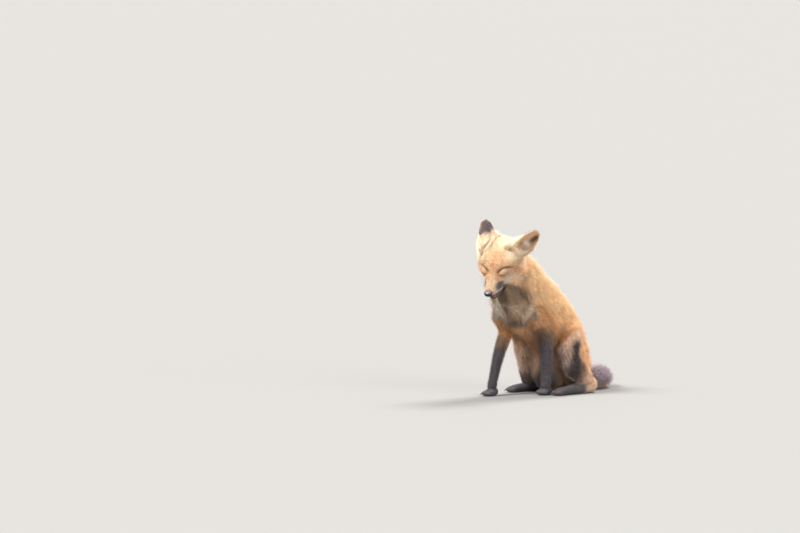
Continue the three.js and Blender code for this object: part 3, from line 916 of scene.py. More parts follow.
def lieOfCoat(points, shares):  # the way the hair points, before it is laid on the skin
    local = toHead(points)
    tailSpots = [nodeMiddle(name) for name in ("tail_base", "tail_middle", "tail_tip")]
    downBack = np.array((0, 0.42, -0.9))
    rise = 0.10 * ramp(local[:, 2], 10, 50) - 0.7 * ramp(local[:, 1], 60, 110)
    spread = np.stack((0.016 * local[:, 0], np.ones(len(points)), rise), axis=1)
    flows = {
        "head": unit(spread) @ headAxes,
        "jaw": np.tile(headAxes[1], (len(points), 1)),
        "neck": np.tile(unit(np.array((0, 0.3, -0.95))), (len(points), 1)),
        "trunk": np.tile(unit(downBack), (len(points), 1)),
        "tail_base": np.tile((-0.2, 1.0, -0.1), (len(points), 1)),
        "tail_middle": np.tile(unit(tailSpots[2] - tailSpots[0]), (len(points), 1)),
        "tail_tip": np.tile(unit(tailSpots[2] - tailSpots[1]) + np.array((0, -0.25, 0)), (len(points), 1)),
    }
    for name in fleshNodes:
        if name.startswith("ear"):
            flows[name] = np.tile(fromEar(name, (0, 0, 1)) - fromEar(name, (0, 0, 0)), (len(points), 1))
        elif name.startswith(("foreleg", "hindleg")):
            flows[name] = np.tile((0, 0.2, -1.0), (len(points), 1))
        elif name.startswith(("forepaw", "hindpaw")):
            flows[name] = np.tile((0, -1.0, -0.15), (len(points), 1))
    throat = (ramp(-local[:, 2], 10, 34) * ramp(local[:, 1], 50, 75))[:, None]
    flows["head"] = blend(flows["head"], np.array((0, 0.1, -1.0)), throat)
    flow = sum(flows[name] * share[:, None] for name, share in shares.items())
    swirl = np.stack([noise(points, 38, seed) for seed in (41, 42, 43)], axis=1)
    locks = np.stack([noise(points, 6.5, seed) for seed in (44, 45, 46)], axis=1)
    longHair = 1 - shares["head"] * (1 - throat[:, 0])
    return flow + 0.2 * swirl + 0.3 * locks * longHair[:, None]


def coatMarkings(name, points, normals, folds, local, mouthGap, tongueGap):
    # The colours of one solid's coat, ears apart, at all the points.
    if name in ("head", "jaw"):
        shade = headMarkings(points, folds, local, mouthGap)
        shade = blend(shade, chestMarkings(shade, points), ramp(-local[:, 2], 40, 60)[:, None])
        if name == "jaw":
            shade = paint(paint(shade, "chin", 0.9), "lip", 1 - ramp(tongueGap, 3.0, 6.5))
        return shade
    if name in ("neck", "trunk"):
        return chestMarkings(bodyMarkings(points, normals), points)
    if name.startswith("tail"):
        return tailMarkings(points, normals)
    if "paw" in name:
        return pawMarkings(name, points)
    shade = legMarkings(name, points, normals)
    if name.startswith("fore"):
        shade = blend(shade, chestMarkings(shade, points), ramp(points[:, 2], 185, 205)[:, None])
    return shade


def studyCoat(points, normals):
    # Colour, lie, depth, length and width of the coat at points of the skin.
    distances, shares = readShares(points)
    soft = nearness({name: distances[name] for name in fleshNodes}, 8.0)
    local, folds = faceDistances(points)
    gap = 3.4 + 0.105 * np.clip(54 - local[:, 1], 0, 60)
    mouthGap = np.maximum(distances["head"], distances["jaw"]) - gap
    inner = np.zeros(len(points))
    rgb, painted = np.zeros((len(points), 3)), np.zeros((len(points), 1))
    for name, share in shares.items():
        broad = name.startswith(("trunk", "neck", "foreleg", "hindleg", "tail"))
        part = (soft[name] if broad else share)[:, None]
        painted += part
        if name.startswith("ear"):
            shade, hollow = earMarkings(name, points, normals)
            inner += hollow * share
        else:
            shade = coatMarkings(name, points, normals, folds, local, mouthGap, distances["tongue"])
        rgb += part * shade
    rgb /= painted
    depth = sum(share * regionDepth(name, points) for name, share in shares.items())
    onHead = {"length": 3.2 + 2.3 * depth, "width": 0.9 + 0.075 * depth}
    length, width = 0, 0
    for name, share in shares.items():
        region = coatRegions.get(name.split("_")[0], onHead)
        length, width = length + share * region["length"], width + share * region["width"]
    length = length * (1 + 0.35 * shares.get("trunk", 0) * ramp(-normals[:, 1], 0.2, 0.8))
    slit = folds["slit"][0]
    across, back, up = local.T
    bare = np.maximum(hill(slit, 2.2), (1 - ramp(mouthGap, 0.6, 1.8)) * ramp(-back, -60, -52))
    lids = hill(across - 29, 15) * hill(back - 61, 15) * hill(up - 23, 11)
    length = length * (1 - 0.5 * lids) * (1 - 0.6 * hill(slit, 5))
    for name in earPose:  # long fluff where an ear grows out of the head
        fluff = shares[name] * ramp(-toEar(name, points)[:, 2], -44, -14) * (1 - inner)
        length, depth = length + 8 * fluff, depth + 3.5 * fluff
    return {"rgb": np.clip(rgb, 0.02, 1), "lie": lieOfCoat(points, shares), "depth": depth, "length": length,
            "width": width, "bare": bare, "inner": inner, "shares": shares, "local": toHead(points)}


skinPoints, skinNormals = vertexPoints(skin.data), vertexNormals(skin.data)
coat = studyCoat(skinPoints, skinNormals)
report("markings and lie of the coat worked out")


# Materials

def plug(tree, slot, value):  # links a socket to a Value, or sets it to a plain value
    if isinstance(value, Value):
        tree.links.new(value.socket, slot)
    else:
        slot.default_value = value


class Value:
    # What comes out of a node: arithmetic on it adds Math nodes.
    def __init__(self, tree, socket):
        self.tree, self.socket = tree, socket

    def maths(self, operation, *terms):
        node = self.tree.nodes.new("ShaderNodeMath")
        node.operation = operation
        for slot, term in zip(node.inputs, terms):
            plug(self.tree, slot, term)
        return Value(self.tree, node.outputs[0])

    def __add__(self, other):
        return self.maths("ADD", self, other)

    def __sub__(self, other):
        return self.maths("SUBTRACT", self, other)

    def __rsub__(self, other):
        return self.maths("SUBTRACT", other, self)

    def __mul__(self, other):
        return self.maths("MULTIPLY", self, other)

    def __pow__(self, other):
        return self.maths("POWER", self, other)

    def __rpow__(self, other):
        return self.maths("POWER", other, self)

    __radd__ = __add__
    __rmul__ = __mul__


class Finish:
    # A material with its nodes: add() takes a node's type, its settings, and its sockets' values or links.
    def __init__(self, name, **constants):
        self.material = bpy.data.materials.new(name)
        self.material.use_nodes = True
        self.tree = self.material.node_tree
        self.shader = self.tree.nodes["Principled BSDF"]
        self.set(**constants)

    def add(self, kind, settings=None, output=0, **sockets):
        node = self.tree.nodes.new(kind)
        for key, value in (settings or {}).items():
            if key == "stops":
                for stop, (place, rgb) in zip(node.color_ramp.elements, value):
                    stop.position, stop.color = place, rgb
            else:
                setattr(node, key, value)
        for key, value in sockets.items():
            plug(self.tree, node.inputs[key], value)
        return Value(self.tree, node.outputs[output])

    def set(self, **sockets):  # the sockets of the Principled shader
        for key, value in sockets.items():
            plug(self.tree, self.shader.inputs[key.replace("_", " ")], value)
        return self

    def place(self):
        return self.add("ShaderNodeTexCoord", output=3)

    def grain(self, size, detail=2.0):  # soft noise whose lumps are about this size in metres
        return self.add("ShaderNodeTexNoise", Vector=self.place(), Scale=1 / size, Detail=detail)

    def mixed(self, a, b, share, way="MIX"):  # a Mix node's sockets 0, 6 and 7 are its factor and two colours
        node = self.tree.nodes.new("ShaderNodeMix")
        node.data_type, node.blend_type = "RGBA", way
        for index, value in ((0, share), (6, a), (7, b)):
            plug(self.tree, node.inputs[index], value)
        return Value(self.tree, node.outputs[2])

    def dimmed(self, tint, tone):  # a colour made darker by a number that changes over the surface
        grey = self.add("ShaderNodeCombineColor", Red=tone, Green=tone, Blue=tone)
        return self.mixed(tint, grey, 1.0, "MULTIPLY")

    def coatTint(self):  # the colour kept at each point of the mesh
        return self.add("ShaderNodeAttribute", {"attribute_name": "coat"})

    def bump(self, height, distance, strength):
        return self.add("ShaderNodeBump", Height=height, Distance=distance, Strength=strength)


def furFinish():
    fur = Finish("fox fur", Roughness=0.72, Specular_IOR_Level=0.22, Sheen_Weight=0.12, Sheen_Roughness=0.5)
    streak = fur.grain(0.0018, 3.0) * 0.5 + 0.75
    return fur.set(Base_Color=fur.dimmed(fur.coatTint(), streak)).material


def skinFinish():
    hide = Finish("short fur over skin", Roughness=0.8, Specular_IOR_Level=0.18, Sheen_Weight=0.1)
    fine = hide.grain(0.0009, 4.0)
    shade = hide.dimmed(hide.coatTint(), fine * 0.5 + 0.6)
    return hide.set(Base_Color=shade, Normal=hide.bump(fine, 0.0006, 0.7)).material


furMaterial, skinMaterial = furFinish(), skinFinish()


def storeColours(mesh, rgb):
    rgb = np.maximum(rgb / np.maximum(rgb.max(1, keepdims=True), 1), 0.01)  # a bright hair keeps its hue
    rgba = np.ones((len(rgb), 4), np.float32)
    rgba[:, :3] = linear(rgb)
    mesh.attributes.new("coat", "FLOAT_COLOR", "POINT").data.foreach_set("color", rgba.ravel())


# painted shade: the skin under the hair is darker, but not where it is bare or inside the ears
shadedSkinColour = coat["rgb"] * blend(0.85, 1.0, np.maximum(coat["bare"], coat["inner"]))[:, None]
storeColours(skin.data, shadedSkinColour)
skin.data.materials.clear()
skin.data.materials.append(skinMaterial)
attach(skin, "root")
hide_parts(*fleshNodes)


# The coat: tufts rooted in the skin and combed along it

class Roots:
    # The skin as triangles that tufts are planted on.
    def __init__(self, thing):
        mesh = thing.data
        mesh.calc_loop_triangles()
        count = len(mesh.loop_triangles)
        corners, loops = np.empty(count * 3, np.int32), np.empty(count * 3, np.int32)
        mesh.loop_triangles.foreach_get("vertices", corners)
        mesh.loop_triangles.foreach_get("loops", loops)
        uv = np.empty(len(mesh.loops) * 2, np.float32)
        mesh.uv_layers["OFBake"].data.foreach_get("uv", uv)
        self.corners = corners.reshape(-1, 3)
        self.uv = uv.reshape(-1, 2)[loops.reshape(-1, 3)]
        a, b, c = (skinPoints[self.corners[:, k]] for k in range(3))
        self.area = np.linalg.norm(np.cross(b - a, c - a), axis=1) / 2
        self.middle = (a + b + c) / 3

    def plant(self, weight, count, seed):
        random = np.random.default_rng(seed)
        chance = np.cumsum(self.area * weight)
        picks = (np.arange(count) + random.uniform(0, 1, count)) / count * chance[-1]
        self.planted = chance[-1]
        face = np.minimum(np.searchsorted(chance, picks), len(chance) - 1)
        u, v = random.uniform(0, 1, (2, count))
        over = u + v > 1
        u[over], v[over] = 1 - u[over], 1 - v[over]
        return face, np.stack((1 - u - v, u, v), axis=1)

    def read(self, values, face, shares):
        values = values if values.ndim == 2 else values[:, None]
        return (values[self.corners[face]] * shares[:, :, None]).sum(1)


roots = Roots(skin)


def tuftShape(rings):  # the faces of one tuft: rings of three corners, closed at the root and the tip
    faces = [(0, 1, 2)]
    for ring in range(rings - 1):
        for k in range(3):
            a, b = ring * 3 + k, ring * 3 + (k + 1) % 3
            faces += [(a, b + 3, b), (a, a + 3, b + 3)]
    last, tip = (rings - 1) * 3, rings * 3
    faces += [(last + k, tip, last + (k + 1) % 3) for k in range(3)]
    return np.array(faces)


tuftStyle = {
    "rings": 2,  # how many bends a tuft has
    "length": 1.0,  # length, width and height are times the coat's own
    "width": 1.0,
    "height": 1.0,
    "loose": 1.0,  # times the sway and the strays
    "sway": 0.14,  # how far the hair turns from its lie
    "strays": 0.26,  # the share of tufts that stand out of the coat
    "lockTone": 0.3,  # how far locks differ in brightness
    "lock": 7.0,  # how wide a lock is, in mm: its tufts share a tone and draw together
    "gather": 0.55,  # how far they draw together
    # painted shade: how dark a tuft is at its root, deep in the coat
    "rootShadow": 0.86,
    "tipShade": 1.12,
}


def lockOf(root, random, size):  # the way from each root to the middle of its lock, and the lock's number
    each = max(len(root) * size**2 / max(roots.planted, 1.0), 1.0)  # tufts in a lock
    middles = root[random.permutation(len(root))[:max(8, int(len(root) / each))]]
    tree = KDTree(len(middles))
    for k, middle in enumerate(middles):
        tree.insert(middle, k)
    tree.balance()
    which = np.array([tree.find(spot)[1] for spot in root])
    pull = middles[which] - root
    pull *= np.linalg.norm(pull, axis=1, keepdims=True) < 1.6 * size
    return pull, which


def combed(root, normal, flow, length, height, pull, style):
    # The path of each tuft over the skin: its spots, and at each ring the way ahead and the way up.
    along = np.linspace(0, 1, style["rings"] + 1)
    most = length / style["rings"]
    spots, ways = [root - normal * 0.4], []
    for start, end in zip(along, along[1:]):
        here = spots[-1]
        up = skinGrid.slope(skinField, here, 1.5)
        ahead = unit(flow - up * dot(flow, up))
        here = here + ahead * length / style["rings"]
        here = here + pull * style["gather"] * (end ** 2 - start ** 2)
        off = height * (1 - (1 - end) ** 1.8) - skinGrid.read(skinField, here)[:, None]
        spots.append(here + skinGrid.slope(skinField, here, 1.5) * np.clip(off, -most, most))
        ways.append((ahead, up))
    return along, spots, ways


def tuftCorners(along, spots, ways, width, twist, rgb, place, style):
    # Three corners round each ring and one at the tip, with their colours and places in the unwrap.
    profile = np.interp(along, (0, 0.35, 0.7, 1), (0.8, 1.0, 0.72, 0))
    patchSize = 0.0015
    corners, tints, patches = [], [], []
    for k, (ahead, up) in enumerate(ways):
        across = unit(np.cross(ahead, up) + twist * up)
        ridge = np.cross(across, ahead)
        half = width * profile[k] / 2
        # the root's painted shade fades towards the tip's colour
        shade = rgb * blend(style["rootShadow"], style["tipShade"], along[k] ** 0.7)
        for offset, u in ((-across, -1), (across, 1), (ridge * 0.7, 0)):
            corners.append(spots[k] + offset * half)
            tints.append(shade)
            patches.append(place + patchSize * np.array((u, 2 * along[k] - 1)))
    corners.append(spots[-1])
    tints.append(rgb * style["tipShade"])
    patches.append(place + np.array((0, patchSize)))
    return (np.stack(rows, axis=1) for rows in (corners, tints, patches))


def growTufts(name, weight, count, seed, **changes):
    style = {**tuftStyle, **changes}
    random = np.random.default_rng(seed)
    face, shares = roots.plant(weight, count, seed)
    root = roots.read(skinPoints, face, shares)
    normal = unit(roots.read(skinNormals, face, shares))
    rgb, lie, depth, length, width = (
        roots.read(coat[key], face, shares) for key in ("rgb", "lie", "depth", "length", "width"))
    if "shade" in style:
        rgb = np.tile(shades[style["shade"]], (count, 1))
    flow = unit(lie) + style["sway"] * style["loose"] * random.normal(0, 1, (count, 3))
    length = length * style["length"] * random.uniform(0.7, 1.2, (count, 1))
    width = width * style["width"] * random.uniform(0.75, 1.2, (count, 1))
    pull, which = lockOf(root, random, style["lock"])
    lockLift, lockTone = random.uniform(0.75, 1.3, (2, which.max() + 1, 1))[:, which]
    height = (0.4 + depth * random.uniform(0.8, 1.2, (count, 1)) * lockLift) * style["height"]
    stray = random.uniform(0, 1, (count, 1)) < style["strays"] * style["loose"]
    height = np.where(stray, height * random.uniform(1.2, 2.1, (count, 1)) + 0.7, height)
    width = np.where(stray, width * 0.6, width)

    along, spots, ways = combed(root, normal, flow, length, height, pull, style)
    place = (roots.uv[face] * shares[:, :, None]).sum(1)
    tone = random.uniform(0.92, 1.06, (count, 1)) * blend(1, lockTone, style["lockTone"])
    twist = random.uniform(-0.5, 0.5, (count, 1))
    corners, tints, patches = tuftCorners(along, spots, ways, width, twist, rgb * tone, place, style)

    points = corners.reshape(-1, 3)
    points[:, 2] = np.maximum(points[:, 2], 0.3)  # nothing goes into the floor
    first = np.arange(count) * corners.shape[1]
    faces = (tuftShape(style["rings"])[None] + first[:, None, None]).reshape(-1, 3)
    piece = meshObject(name, points, faces)
    storeColours(piece.data, tints.reshape(-1, 3))
    patch = patches.reshape(-1, 2)[faces.ravel()]
    piece.data.uv_layers.new(name="OFBake").data.foreach_set("uv", patch.astype(np.float32).ravel())
    piece.data.materials.append(furMaterial)
    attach(piece, "root")
    report(f"{name}: {count} tufts, {len(faces)} triangles")
    return len(faces), piece


# Each piece of the coat: its number of tufts, its slot, and what it changes in the tufts' style
coatPieces = {
    "coat_muzzle": (24000, "face_coat", {"rings": 1, "width": 0.75, "lock": 2.5, "rootShadow": 0.82}),
    "coat_face": (25000, "face_coat", {"rings": 1, "loose": 1.3, "lock": 3.5, "height": 1.5}),
    "coat_cheeks": (15000, "face_coat", {"loose": 1.6, "lock": 6, "height": 1.4, "lockTone": 0.4}),
    "coat_ears": (20000, "ear_coat", {"rings": 1, "lock": 3}),
    "ear_fluff": (600, "ear_coat", {
        "rings": 3, "length": 3.0, "width": 0.9, "height": 5, "loose": 0.5, "shade": "earFluff",
    }),
    "coat_neck": (14000, "red_coat", {"loose": 1.4, "height": 1.3, "lockTone": 0.45}),
    "coat_back_left": (15500, "red_coat", {}),
    "coat_back_right": (14000, "red_coat", {}),
    "coat_loins": (17000, "red_coat", {}),
    "coat_forelegs": (25000, "dark_coat", {"rings": 1, "loose": 0.9, "lock": 4, "height": 2.3}),
    "coat_hindlegs": (16000, "red_coat", {"lock": 6}),
    "coat_feet": (16000, "dark_coat", {"rings": 1, "loose": 0.6, "lock": 3}),
    "coat_tail": (13500, "brush_coat", {"loose": 0.9, "lock": 8, "height": 0.7, "rootShadow": 0.8}),
}


def growCoat():
    over = lambda values: values[roots.corners].mean(1)
    shareOf = lambda *starts: over(sum(v for k, v in coat["shares"].items() if k.startswith(starts)))
    density = 1 - np.clip(over(coat["bare"]) * 1.3, 0, 1)
    inside = over(coat["inner"])
    local = coat["local"][roots.corners].mean(1)
    head, trunk, ear = shareOf("head", "jaw"), shareOf("trunk"), shareOf("ear")
    deep = ramp(over(coat["depth"]), 3.2, 4.4)
    muzzle = ramp(-local[:, 1], -75, -55)
    left = roots.middle[:, 0] > 31
    upper = ramp(roots.middle[:, 2], 150, 160)
    earFoot = 0
    for name, pose in earPose.items():
        across, _, up = toEar(name, roots.middle).T
        earFoot += hill(pose["side"] * across - 8, 8) * hill(up - 17, 9)
    where = {  # how thickly each piece grows at each triangle of the skin
        "coat_muzzle": head * (1 - deep) * muzzle * density,
        "coat_face": head * (1 - deep) * (1 - muzzle) * density,
        "coat_cheeks": head * deep * density,
        "coat_ears": ear * (0.3 + 0.7 * (1 - inside)),
        "ear_fluff": ear * inside * earFoot,
        "coat_neck": shareOf("neck"),
        "coat_back_left": trunk * left * upper,
        "coat_back_right": trunk * ~left * upper,
        "coat_loins": trunk * (1 - upper),
        "coat_forelegs": shareOf("foreleg"),
        "coat_hindlegs": shareOf("hindleg"),
        "coat_feet": shareOf("hindpaw", "forepaw"),
        "coat_tail": shareOf("tail"),
    }
    total = 0
    for seed, (name, (count, slot, style)) in enumerate(coatPieces.items()):
        triangles, piece = growTufts(name, where[name], count, 100 + seed, **style)
        total += triangles
    report(f"coat has {total} triangles")


growCoat()


# Nose, tongue and eyes

softPieces = {  # in mm: the grid's step, how far edges are rounded, and how far the form grows outwards
    "nose": {"step": 0.45, "softness": 1.5, "swell": 1.7},
    "tongue": {"step": 0.6, "softness": 0.8, "swell": 1.5},
}
# the nose leather's dark colour, with a painted highlight towards its upper face
noseLeatherAndHighlight = {"low": colour(32, 27, 29), "high": colour(108, 94, 98), "from": 5, "to": 10}


def softPiece(name, node, carve):
    # A smooth piece inside a CAD node's own form.
    step = softPieces[node]["step"]
    points, triangles = nodeMesh(node)
    low = np.floor(points.min(0) / step).astype(int) - 7
    size = np.ceil(points.max(0) / step).astype(int) + 8 - low
    transform = openvdb.createLinearTransform(step)
    volume = openvdb.FloatGrid.createLevelSetFromPolygons(
        points, triangles=triangles, transform=transform, halfWidth=6.0)
    values = np.empty(tuple(size), np.float32)
    volume.copyToArray(values, ijk=tuple(int(k) for k in low))
    values = softened(values, softPieces[node]["softness"] / step)
    axes = [(np.arange(n) + first) * step for n, first in zip(size, low)]
    spots = np.stack(np.meshgrid(*axes, indexing="ij"), axis=-1).reshape(-1, 3)
    values = carve(toHead(spots), values.reshape(-1)).reshape(values.shape).astype(np.float32)
    made = openvdb.FloatGrid(float(values.max()))
    made.transform = transform
    made.copyFromArray(values, ijk=tuple(int(k) for k in low))
    surface, quads = made.convertToQuads(isovalue=softPieces[node]["swell"])
    piece = meshObject(name, surface.astype(float), quads.astype(int))
    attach(piece, "root")
    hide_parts(node)
    return piece


def carvedNose(local, values):
    x = np.abs(local[:, 0])
    folded = np.column_stack((x, local[:, 1:]))
    nostril = capsule(folded, (3.7, -6.0, 2.4), (5.6, 2.0, 3.8), 3.0, 2.3)
    wing = capsule(folded, (4.6, -4.5, 1.0), (9.8, 1.0, 0.2), 1.9, 1.3)
    groove = capsule(local, (0, -6.6, -5), (0, -6.2, 1.5), 1.8, 1.5)
    for hollow in (nostril, wing, groove):
        values = np.maximum(values, -hollow)
    top = local[:, 2] - 8.1  # flattens the nose's upper face, with a rounded edge
    return 0.5 * (values + top + np.hypot(values - top, 3.0))


def groovedTongue(local, values):
    x, y, z = local.T
    return values + 0.9 * hill(x, 1.4) * ramp(z + 0.1 * (54 - y), -16, -10)


nose = softPiece("nose_leather", "nose", carvedNose)
tongue = softPiece("tongue_flesh", "tongue", groovedTongue)


def noseFinish():
    leather = Finish("nose leather", Specular_IOR_Level=0.5)
    pebbles = leather.add("ShaderNodeTexVoronoi", Vector=leather.place(), Scale=1100.0)
    tone = leather.grain(0.004)
    shade = leather.mixed((0.6, 0.6, 0.6, 1), (1, 1, 1, 1), tone)
    shade = leather.mixed(leather.coatTint(), shade, 1.0, "MULTIPLY")
    return leather.set(Base_Color=shade, Roughness=tone * 0.25 + 0.3,
                       Normal=leather.bump(pebbles, 0.00012, 0.35)).material


def tongueFinish():
    flesh = Finish("wet tongue", Specular_IOR_Level=0.5)
    tone = flesh.grain(0.003)
    shade = flesh.mixed((0.085, 0.034, 0.031, 1), (0.15, 0.065, 0.06, 1), tone)
    return flesh.set(Base_Color=shade, Roughness=tone * 0.2 + 0.3,
                     Normal=flesh.bump(flesh.grain(0.0008, 4.0), 0.0003, 0.5)).material


noseSpots = toHead(vertexPoints(nose.data))
# painted highlight: lighter towards the nose's upper face
noseHighlight = ramp(noseSpots[:, 2] + 0.35 * noseSpots[:, 1], noseLeatherAndHighlight["from"], noseLeatherAndHighlight["to"])
storeColours(nose.data, blend(noseLeatherAndHighlight["low"], noseLeatherAndHighlight["high"], noseHighlight[:, None]))
nose.data.materials.append(noseFinish())
tongue.data.materials.append(tongueFinish())

eyeSizes = {
    "radius": 8.2,
    "cornea": 0.6,  # how far its front swells
    "deeper": 4.6,  # how far it lies behind the solid's middle, under the lids
    "gaze": (0.62, -0.62, 0.35),  # the left eye's, in the head's frame
}


def eyeFinish():
    # The iris is coloured by how far a point lies from the eye's own axis, kept as an attribute.
    wet = Finish("eye", Roughness=0.06, Specular_IOR_Level=0.6)
    radial = wet.add("ShaderNodeAttribute", {"attribute_name": "radial"}, output=2)
    stops = ((0.0, (0.004, 0.003, 0.003, 1)), (0.6, (0.1, 0.05, 0.012, 1)))
    iris = wet.add("ShaderNodeValToRGB", {"stops": stops}, Fac=radial + wet.grain(0.0007) * 0.08)
    return wet.set(Base_Color=iris).material


def makeEye(side, node, material):
    ahead = unit((np.array((side, 1, 1)) * eyeSizes["gaze"]) @ headAxes)
    middle = nodeMiddle(node) - ahead * eyeSizes["deeper"]
    shape = bmesh.new()
    bmesh.ops.create_uvsphere(shape, u_segments=48, v_segments=32, radius=1.0)
    points = np.array([v.co for v in shape.verts])
    shape.verts.index_update()
    faces = [tuple(v.index for v in f.verts) for f in shape.faces]
    shape.free()
    turn = np.array(Vector((0, 0, 1)).rotation_difference(Vector(ahead)).to_matrix())
    radial = np.hypot(points[:, 0], points[:, 1])
    front = ramp(points[:, 2], 0.8, 0.95)
    placed = (points * (eyeSizes["radius"] + eyeSizes["cornea"] * front[:, None])) @ turn.T + middle
    mesh = bpy.data.meshes.new(f"eyeball_{node[4:]}")
    mesh.from_pydata([tuple(p * mm) for p in placed], [], faces)
    mesh.polygons.foreach_set("use_smooth", np.ones(len(faces), bool))
    values = np.where(points[:, 2] > 0, radial, 2.0).astype(np.float32)
    mesh.attributes.new("radial", "FLOAT", "POINT").data.foreach_set("value", values)
    mesh.materials.append(material)
    eye = bpy.data.objects.new(mesh.name, mesh)
    bpy.context.scene.collection.objects.link(eye)
    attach(eye, "root")
    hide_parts(node)


eyeMaterial = eyeFinish()
makeEye(1, "eye_left", eyeMaterial)
makeEye(-1, "eye_right", eyeMaterial)
report("nose, tongue and eyes made")


# Claws and whiskers: tapered strands along chains of points

def strandTree():
    tree = bpy.data.node_groups.new("tapered strands", "GeometryNodeTree")
    face = tree.interface
    face.new_socket("Geometry", in_out="INPUT", socket_type="NodeSocketGeometry")
    for name, value in (("Root radius", 0.001), ("Point", 2.0)):
        face.new_socket(name, in_out="INPUT", socket_type="NodeSocketFloat").default_value = value
    for name, value in (("Rings", 12), ("Sides", 8)):
        face.new_socket(name, in_out="INPUT", socket_type="NodeSocketInt").default_value = value
    face.new_socket("Material", in_out="INPUT", socket_type="NodeSocketMaterial")
    face.new_socket("Geometry", in_out="OUTPUT", socket_type="NodeSocketGeometry")

    def add(kind, settings=None, output=0, **links):
        node = tree.nodes.new(kind)
        for key, value in (settings or {}).items():
            setattr(node, key, value)
        for key, value in links.items():
            plug(tree, node.inputs[key.replace("_", " ")], value)
        return Value(tree, node.outputs[output]) if node.outputs else node

    inputs = tree.nodes.new("NodeGroupInput").outputs
    given = {socket.name: Value(tree, socket) for socket in inputs if socket.name}
    chain = add("GeometryNodeMeshToCurve", Mesh=given["Geometry"])
    smooth = add("GeometryNodeCurveSplineType", {"spline_type": "CATMULL_ROM"}, Curve=chain)
    even = add("GeometryNodeResampleCurve", Curve=smooth, Count=given["Rings"])
    along = add("GeometryNodeSplineParameter", output="Factor")
    radius = (1.02 - along ** given["Point"]) * given["Root radius"]
    circle = add("GeometryNodeCurvePrimitiveCircle", Resolution=given["Sides"], Radius=1.0)
    tube = add("GeometryNodeCurveToMesh", Curve=even, Profile_Curve=circle, Scale=radius, Fill_Caps=True)
    shaded = add("GeometryNodeSetShadeSmooth", Geometry=tube)
    real = add("GeometryNodeRealizeInstances", Geometry=shaded)
    dressed = add("GeometryNodeSetMaterial", Geometry=real, Material=given["Material"])
    add("NodeGroupOutput", Geometry=dressed)
    return tree


strands = strandTree()


def makeStrands(name, chains, material, slot, **values):
    points = [tuple(p * mm) for chain in chains for p in chain]
    edges, first = [], 0
    for chain in chains:
        edges += [(k, k + 1) for k in range(first, first + len(chain) - 1)]
        first += len(chain)
    mesh = bpy.data.meshes.new(name)
    mesh.from_pydata(points, edges, [])
    piece = bpy.data.objects.new(name, mesh)
    bpy.context.scene.collection.objects.link(piece)
    modifier = piece.modifiers.new("strands", "NODES")
    modifier.node_group = strands
    sockets = {item.name: item.identifier for item in strands.interface.items_tree if item.in_out == "INPUT"}
    modifier[sockets["Material"]] = material
    for key, value in values.items():
        modifier[sockets[key.replace("_", " ")]] = value
    bakedModifiers(piece)
    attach(piece, "root")
    report(f"{name}: {len(chains)} strands")


def clawChains():
    chains = []
    size = pawSizes["clawLength"]
    for name in pawPlaces:
        for toe in (-1.5, -0.5, 0.5, 1.5):
            x = toe * pawSizes["toeGap"]
            tip = -pawSizes["innerReach" if abs(toe) < 1 else "outerReach"]
            root = ((x, tip + 4, 7.6), (x, tip - 0.2 * size, 7.6))
            hook = ((x * 1.03, tip - 0.62 * size, 5.6), (x * 1.05, tip - 0.85 * size, 2.4))
            chains.append(fromPaw(name, root + hook))
    return chains


whiskerSizes = {"each": 11, "shortest": 22, "longest": 52, "radius": 0.17}


def whiskerChains():
    random = np.random.default_rng(7)
    chains = []
    for side in (-1, 1):
        for k in range(whiskerSizes["each"]):
            row, place = divmod(k, 4)
            back = 21 + 5.2 * place + random.uniform(-1, 1)
            up = 7.5 - 3.6 * row + random.uniform(-0.6, 0.6)
            length = blend(whiskerSizes["shortest"], whiskerSizes["longest"], place / 3)
            length *= random.uniform(0.85, 1.1)
            start = np.array((side * (8 + 0.22 * back), back, up))
            ahead = unit(np.array((side, 0.5 + 0.12 * place, 0.22 - 0.3 * row)))
            droop = np.array((0, 0.5, -0.55)) * length
            bend = start + 0.65 * length * ahead + 0.16 * droop
            tip = start + length * ahead + 0.42 * droop
            chains.append(fromHead([start - 4 * ahead, start + 0.3 * length * ahead, bend, tip]))
    return chains


horn = Finish("claw horn", Roughness=0.4, Base_Color=(0.03, 0.024, 0.02, 1)).material
bristle = Finish("whisker bristle", Roughness=0.5, Base_Color=(0.02, 0.016, 0.014, 1)).material
makeStrands("claws", clawChains(), horn, "claw", Root_radius=pawSizes["clawRadius"] * mm, Point=1.6)
makeStrands("whiskers", whiskerChains(), bristle, "whisker",
            Root_radius=whiskerSizes["radius"] * mm, Point=1.0, Rings=14, Sides=5)


# Camera, floor and light

cameraView = {"azimuth": 50, "elevation": 5, "distance": 33.33, "lens": 600, "right": -0.3583, "up": 0.0910}
studio = {
    "floorShade": (0.2, 0.197, 0.192, 1),
    "floorRadius": 150,
    "skyShade": (0.9, 0.93, 1, 1),
    "skyStrength": 0.88,
}
# A lamp's way (towards the camera, to the camera's right, up), its spread in degrees, strength and tint
lamps = {
    "key": ((2.2, -3.6, 5.0), 18, 6.3, (1, 0.97, 0.92)),
    "back": ((-3.2, 2.4, 5.4), 21, 5.0, (1, 0.96, 0.9)),
    "fill": ((4.0, 4.0, 2.4), 40, 2.1, (0.98, 0.99, 1)),
}


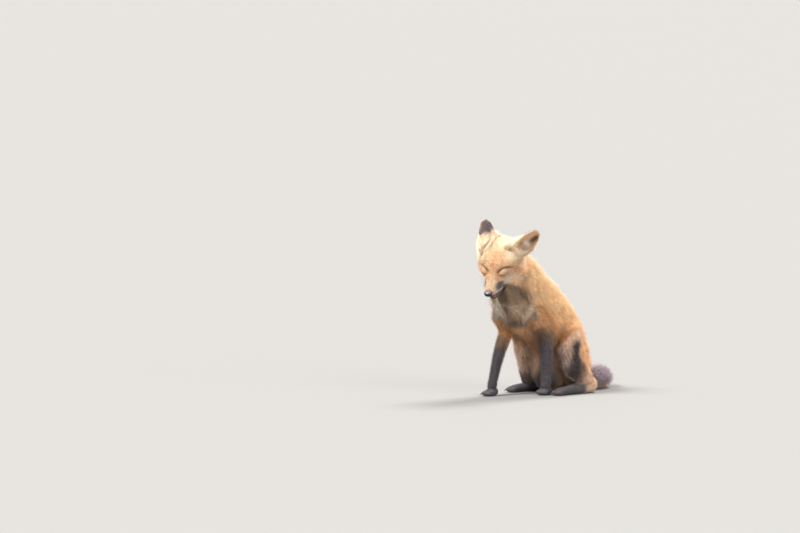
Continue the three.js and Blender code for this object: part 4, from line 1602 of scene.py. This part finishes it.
def placeCamera():
    low, high = cadBox
    a, e = math.radians(cameraView["azimuth"]), math.radians(cameraView["elevation"])
    back = Vector((math.sin(a) * math.cos(e), -math.cos(a) * math.cos(e), math.sin(e)))
    right = Vector((math.cos(a), math.sin(a), 0))
    up = back.cross(right)
    aim = (low + high) / 2 + right * cameraView["right"] + up * cameraView["up"]
    data = bpy.data.cameras.new("camera")
    data.lens, data.sensor_width = cameraView["lens"], 36
    data.clip_start, data.clip_end = 0.1, 300
    camera = bpy.data.objects.new("camera", data)
    camera.location = aim + back * cameraView["distance"]
    camera.rotation_mode = "QUATERNION"
    camera.rotation_quaternion = back.to_track_quat("Z", "Y")
    bpy.context.scene.collection.objects.link(camera)
    bpy.context.scene.camera = camera
    return right, back


def layFloor():
    # One flat pale floor, so wide that its edge is out of sight.
    radius, sides = studio["floorRadius"], 96
    around = np.linspace(0, 2 * math.pi, sides, endpoint=False)
    mesh = bpy.data.meshes.new("floor")
    rim = [(radius * math.cos(t), radius * math.sin(t), 0) for t in around]
    mesh.from_pydata(rim, [], [tuple(range(sides))])
    floor = bpy.data.objects.new("floor", mesh)
    bpy.context.scene.collection.objects.link(floor)
    paper = Finish("pale floor", Roughness=0.9, Specular_IOR_Level=0.1)
    mesh.materials.append(paper.set(Base_Color=studio["floorShade"]).material)
    floor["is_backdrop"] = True


def softLight(name, towards, spread, strength, tint):
    data = bpy.data.lights.new(name, "SUN")
    data.angle, data.energy, data.color = math.radians(spread), strength, tint
    lamp = bpy.data.objects.new(name, data)
    lamp.location = towards
    lamp.rotation_mode = "QUATERNION"
    lamp.rotation_quaternion = towards.to_track_quat("Z", "Y")
    bpy.context.scene.collection.objects.link(lamp)


cameraRight, cameraBack = placeCamera()
layFloor()
level = Vector((cameraBack.x, cameraBack.y, 0)).normalized()
for name, ((near, right, up), spread, strength, tint) in lamps.items():
    softLight(name, level * near + cameraRight * right + Vector((0, 0, up)), spread, strength, tint)
world = bpy.data.worlds.new("studio")
world.use_nodes = True
sky = world.node_tree.nodes["Background"]
sky.inputs["Color"].default_value = studio["skyShade"]
sky.inputs["Strength"].default_value = studio["skyStrength"]
bpy.context.scene.world = world
bpy.context.scene.view_settings.view_transform = "Standard"
report("camera, floor and lamps set")

sizes = {"cad": [list(corner) for corner in cadBox], "visual": [list(corner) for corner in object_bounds()]}
report(f"sizes {sizes}")
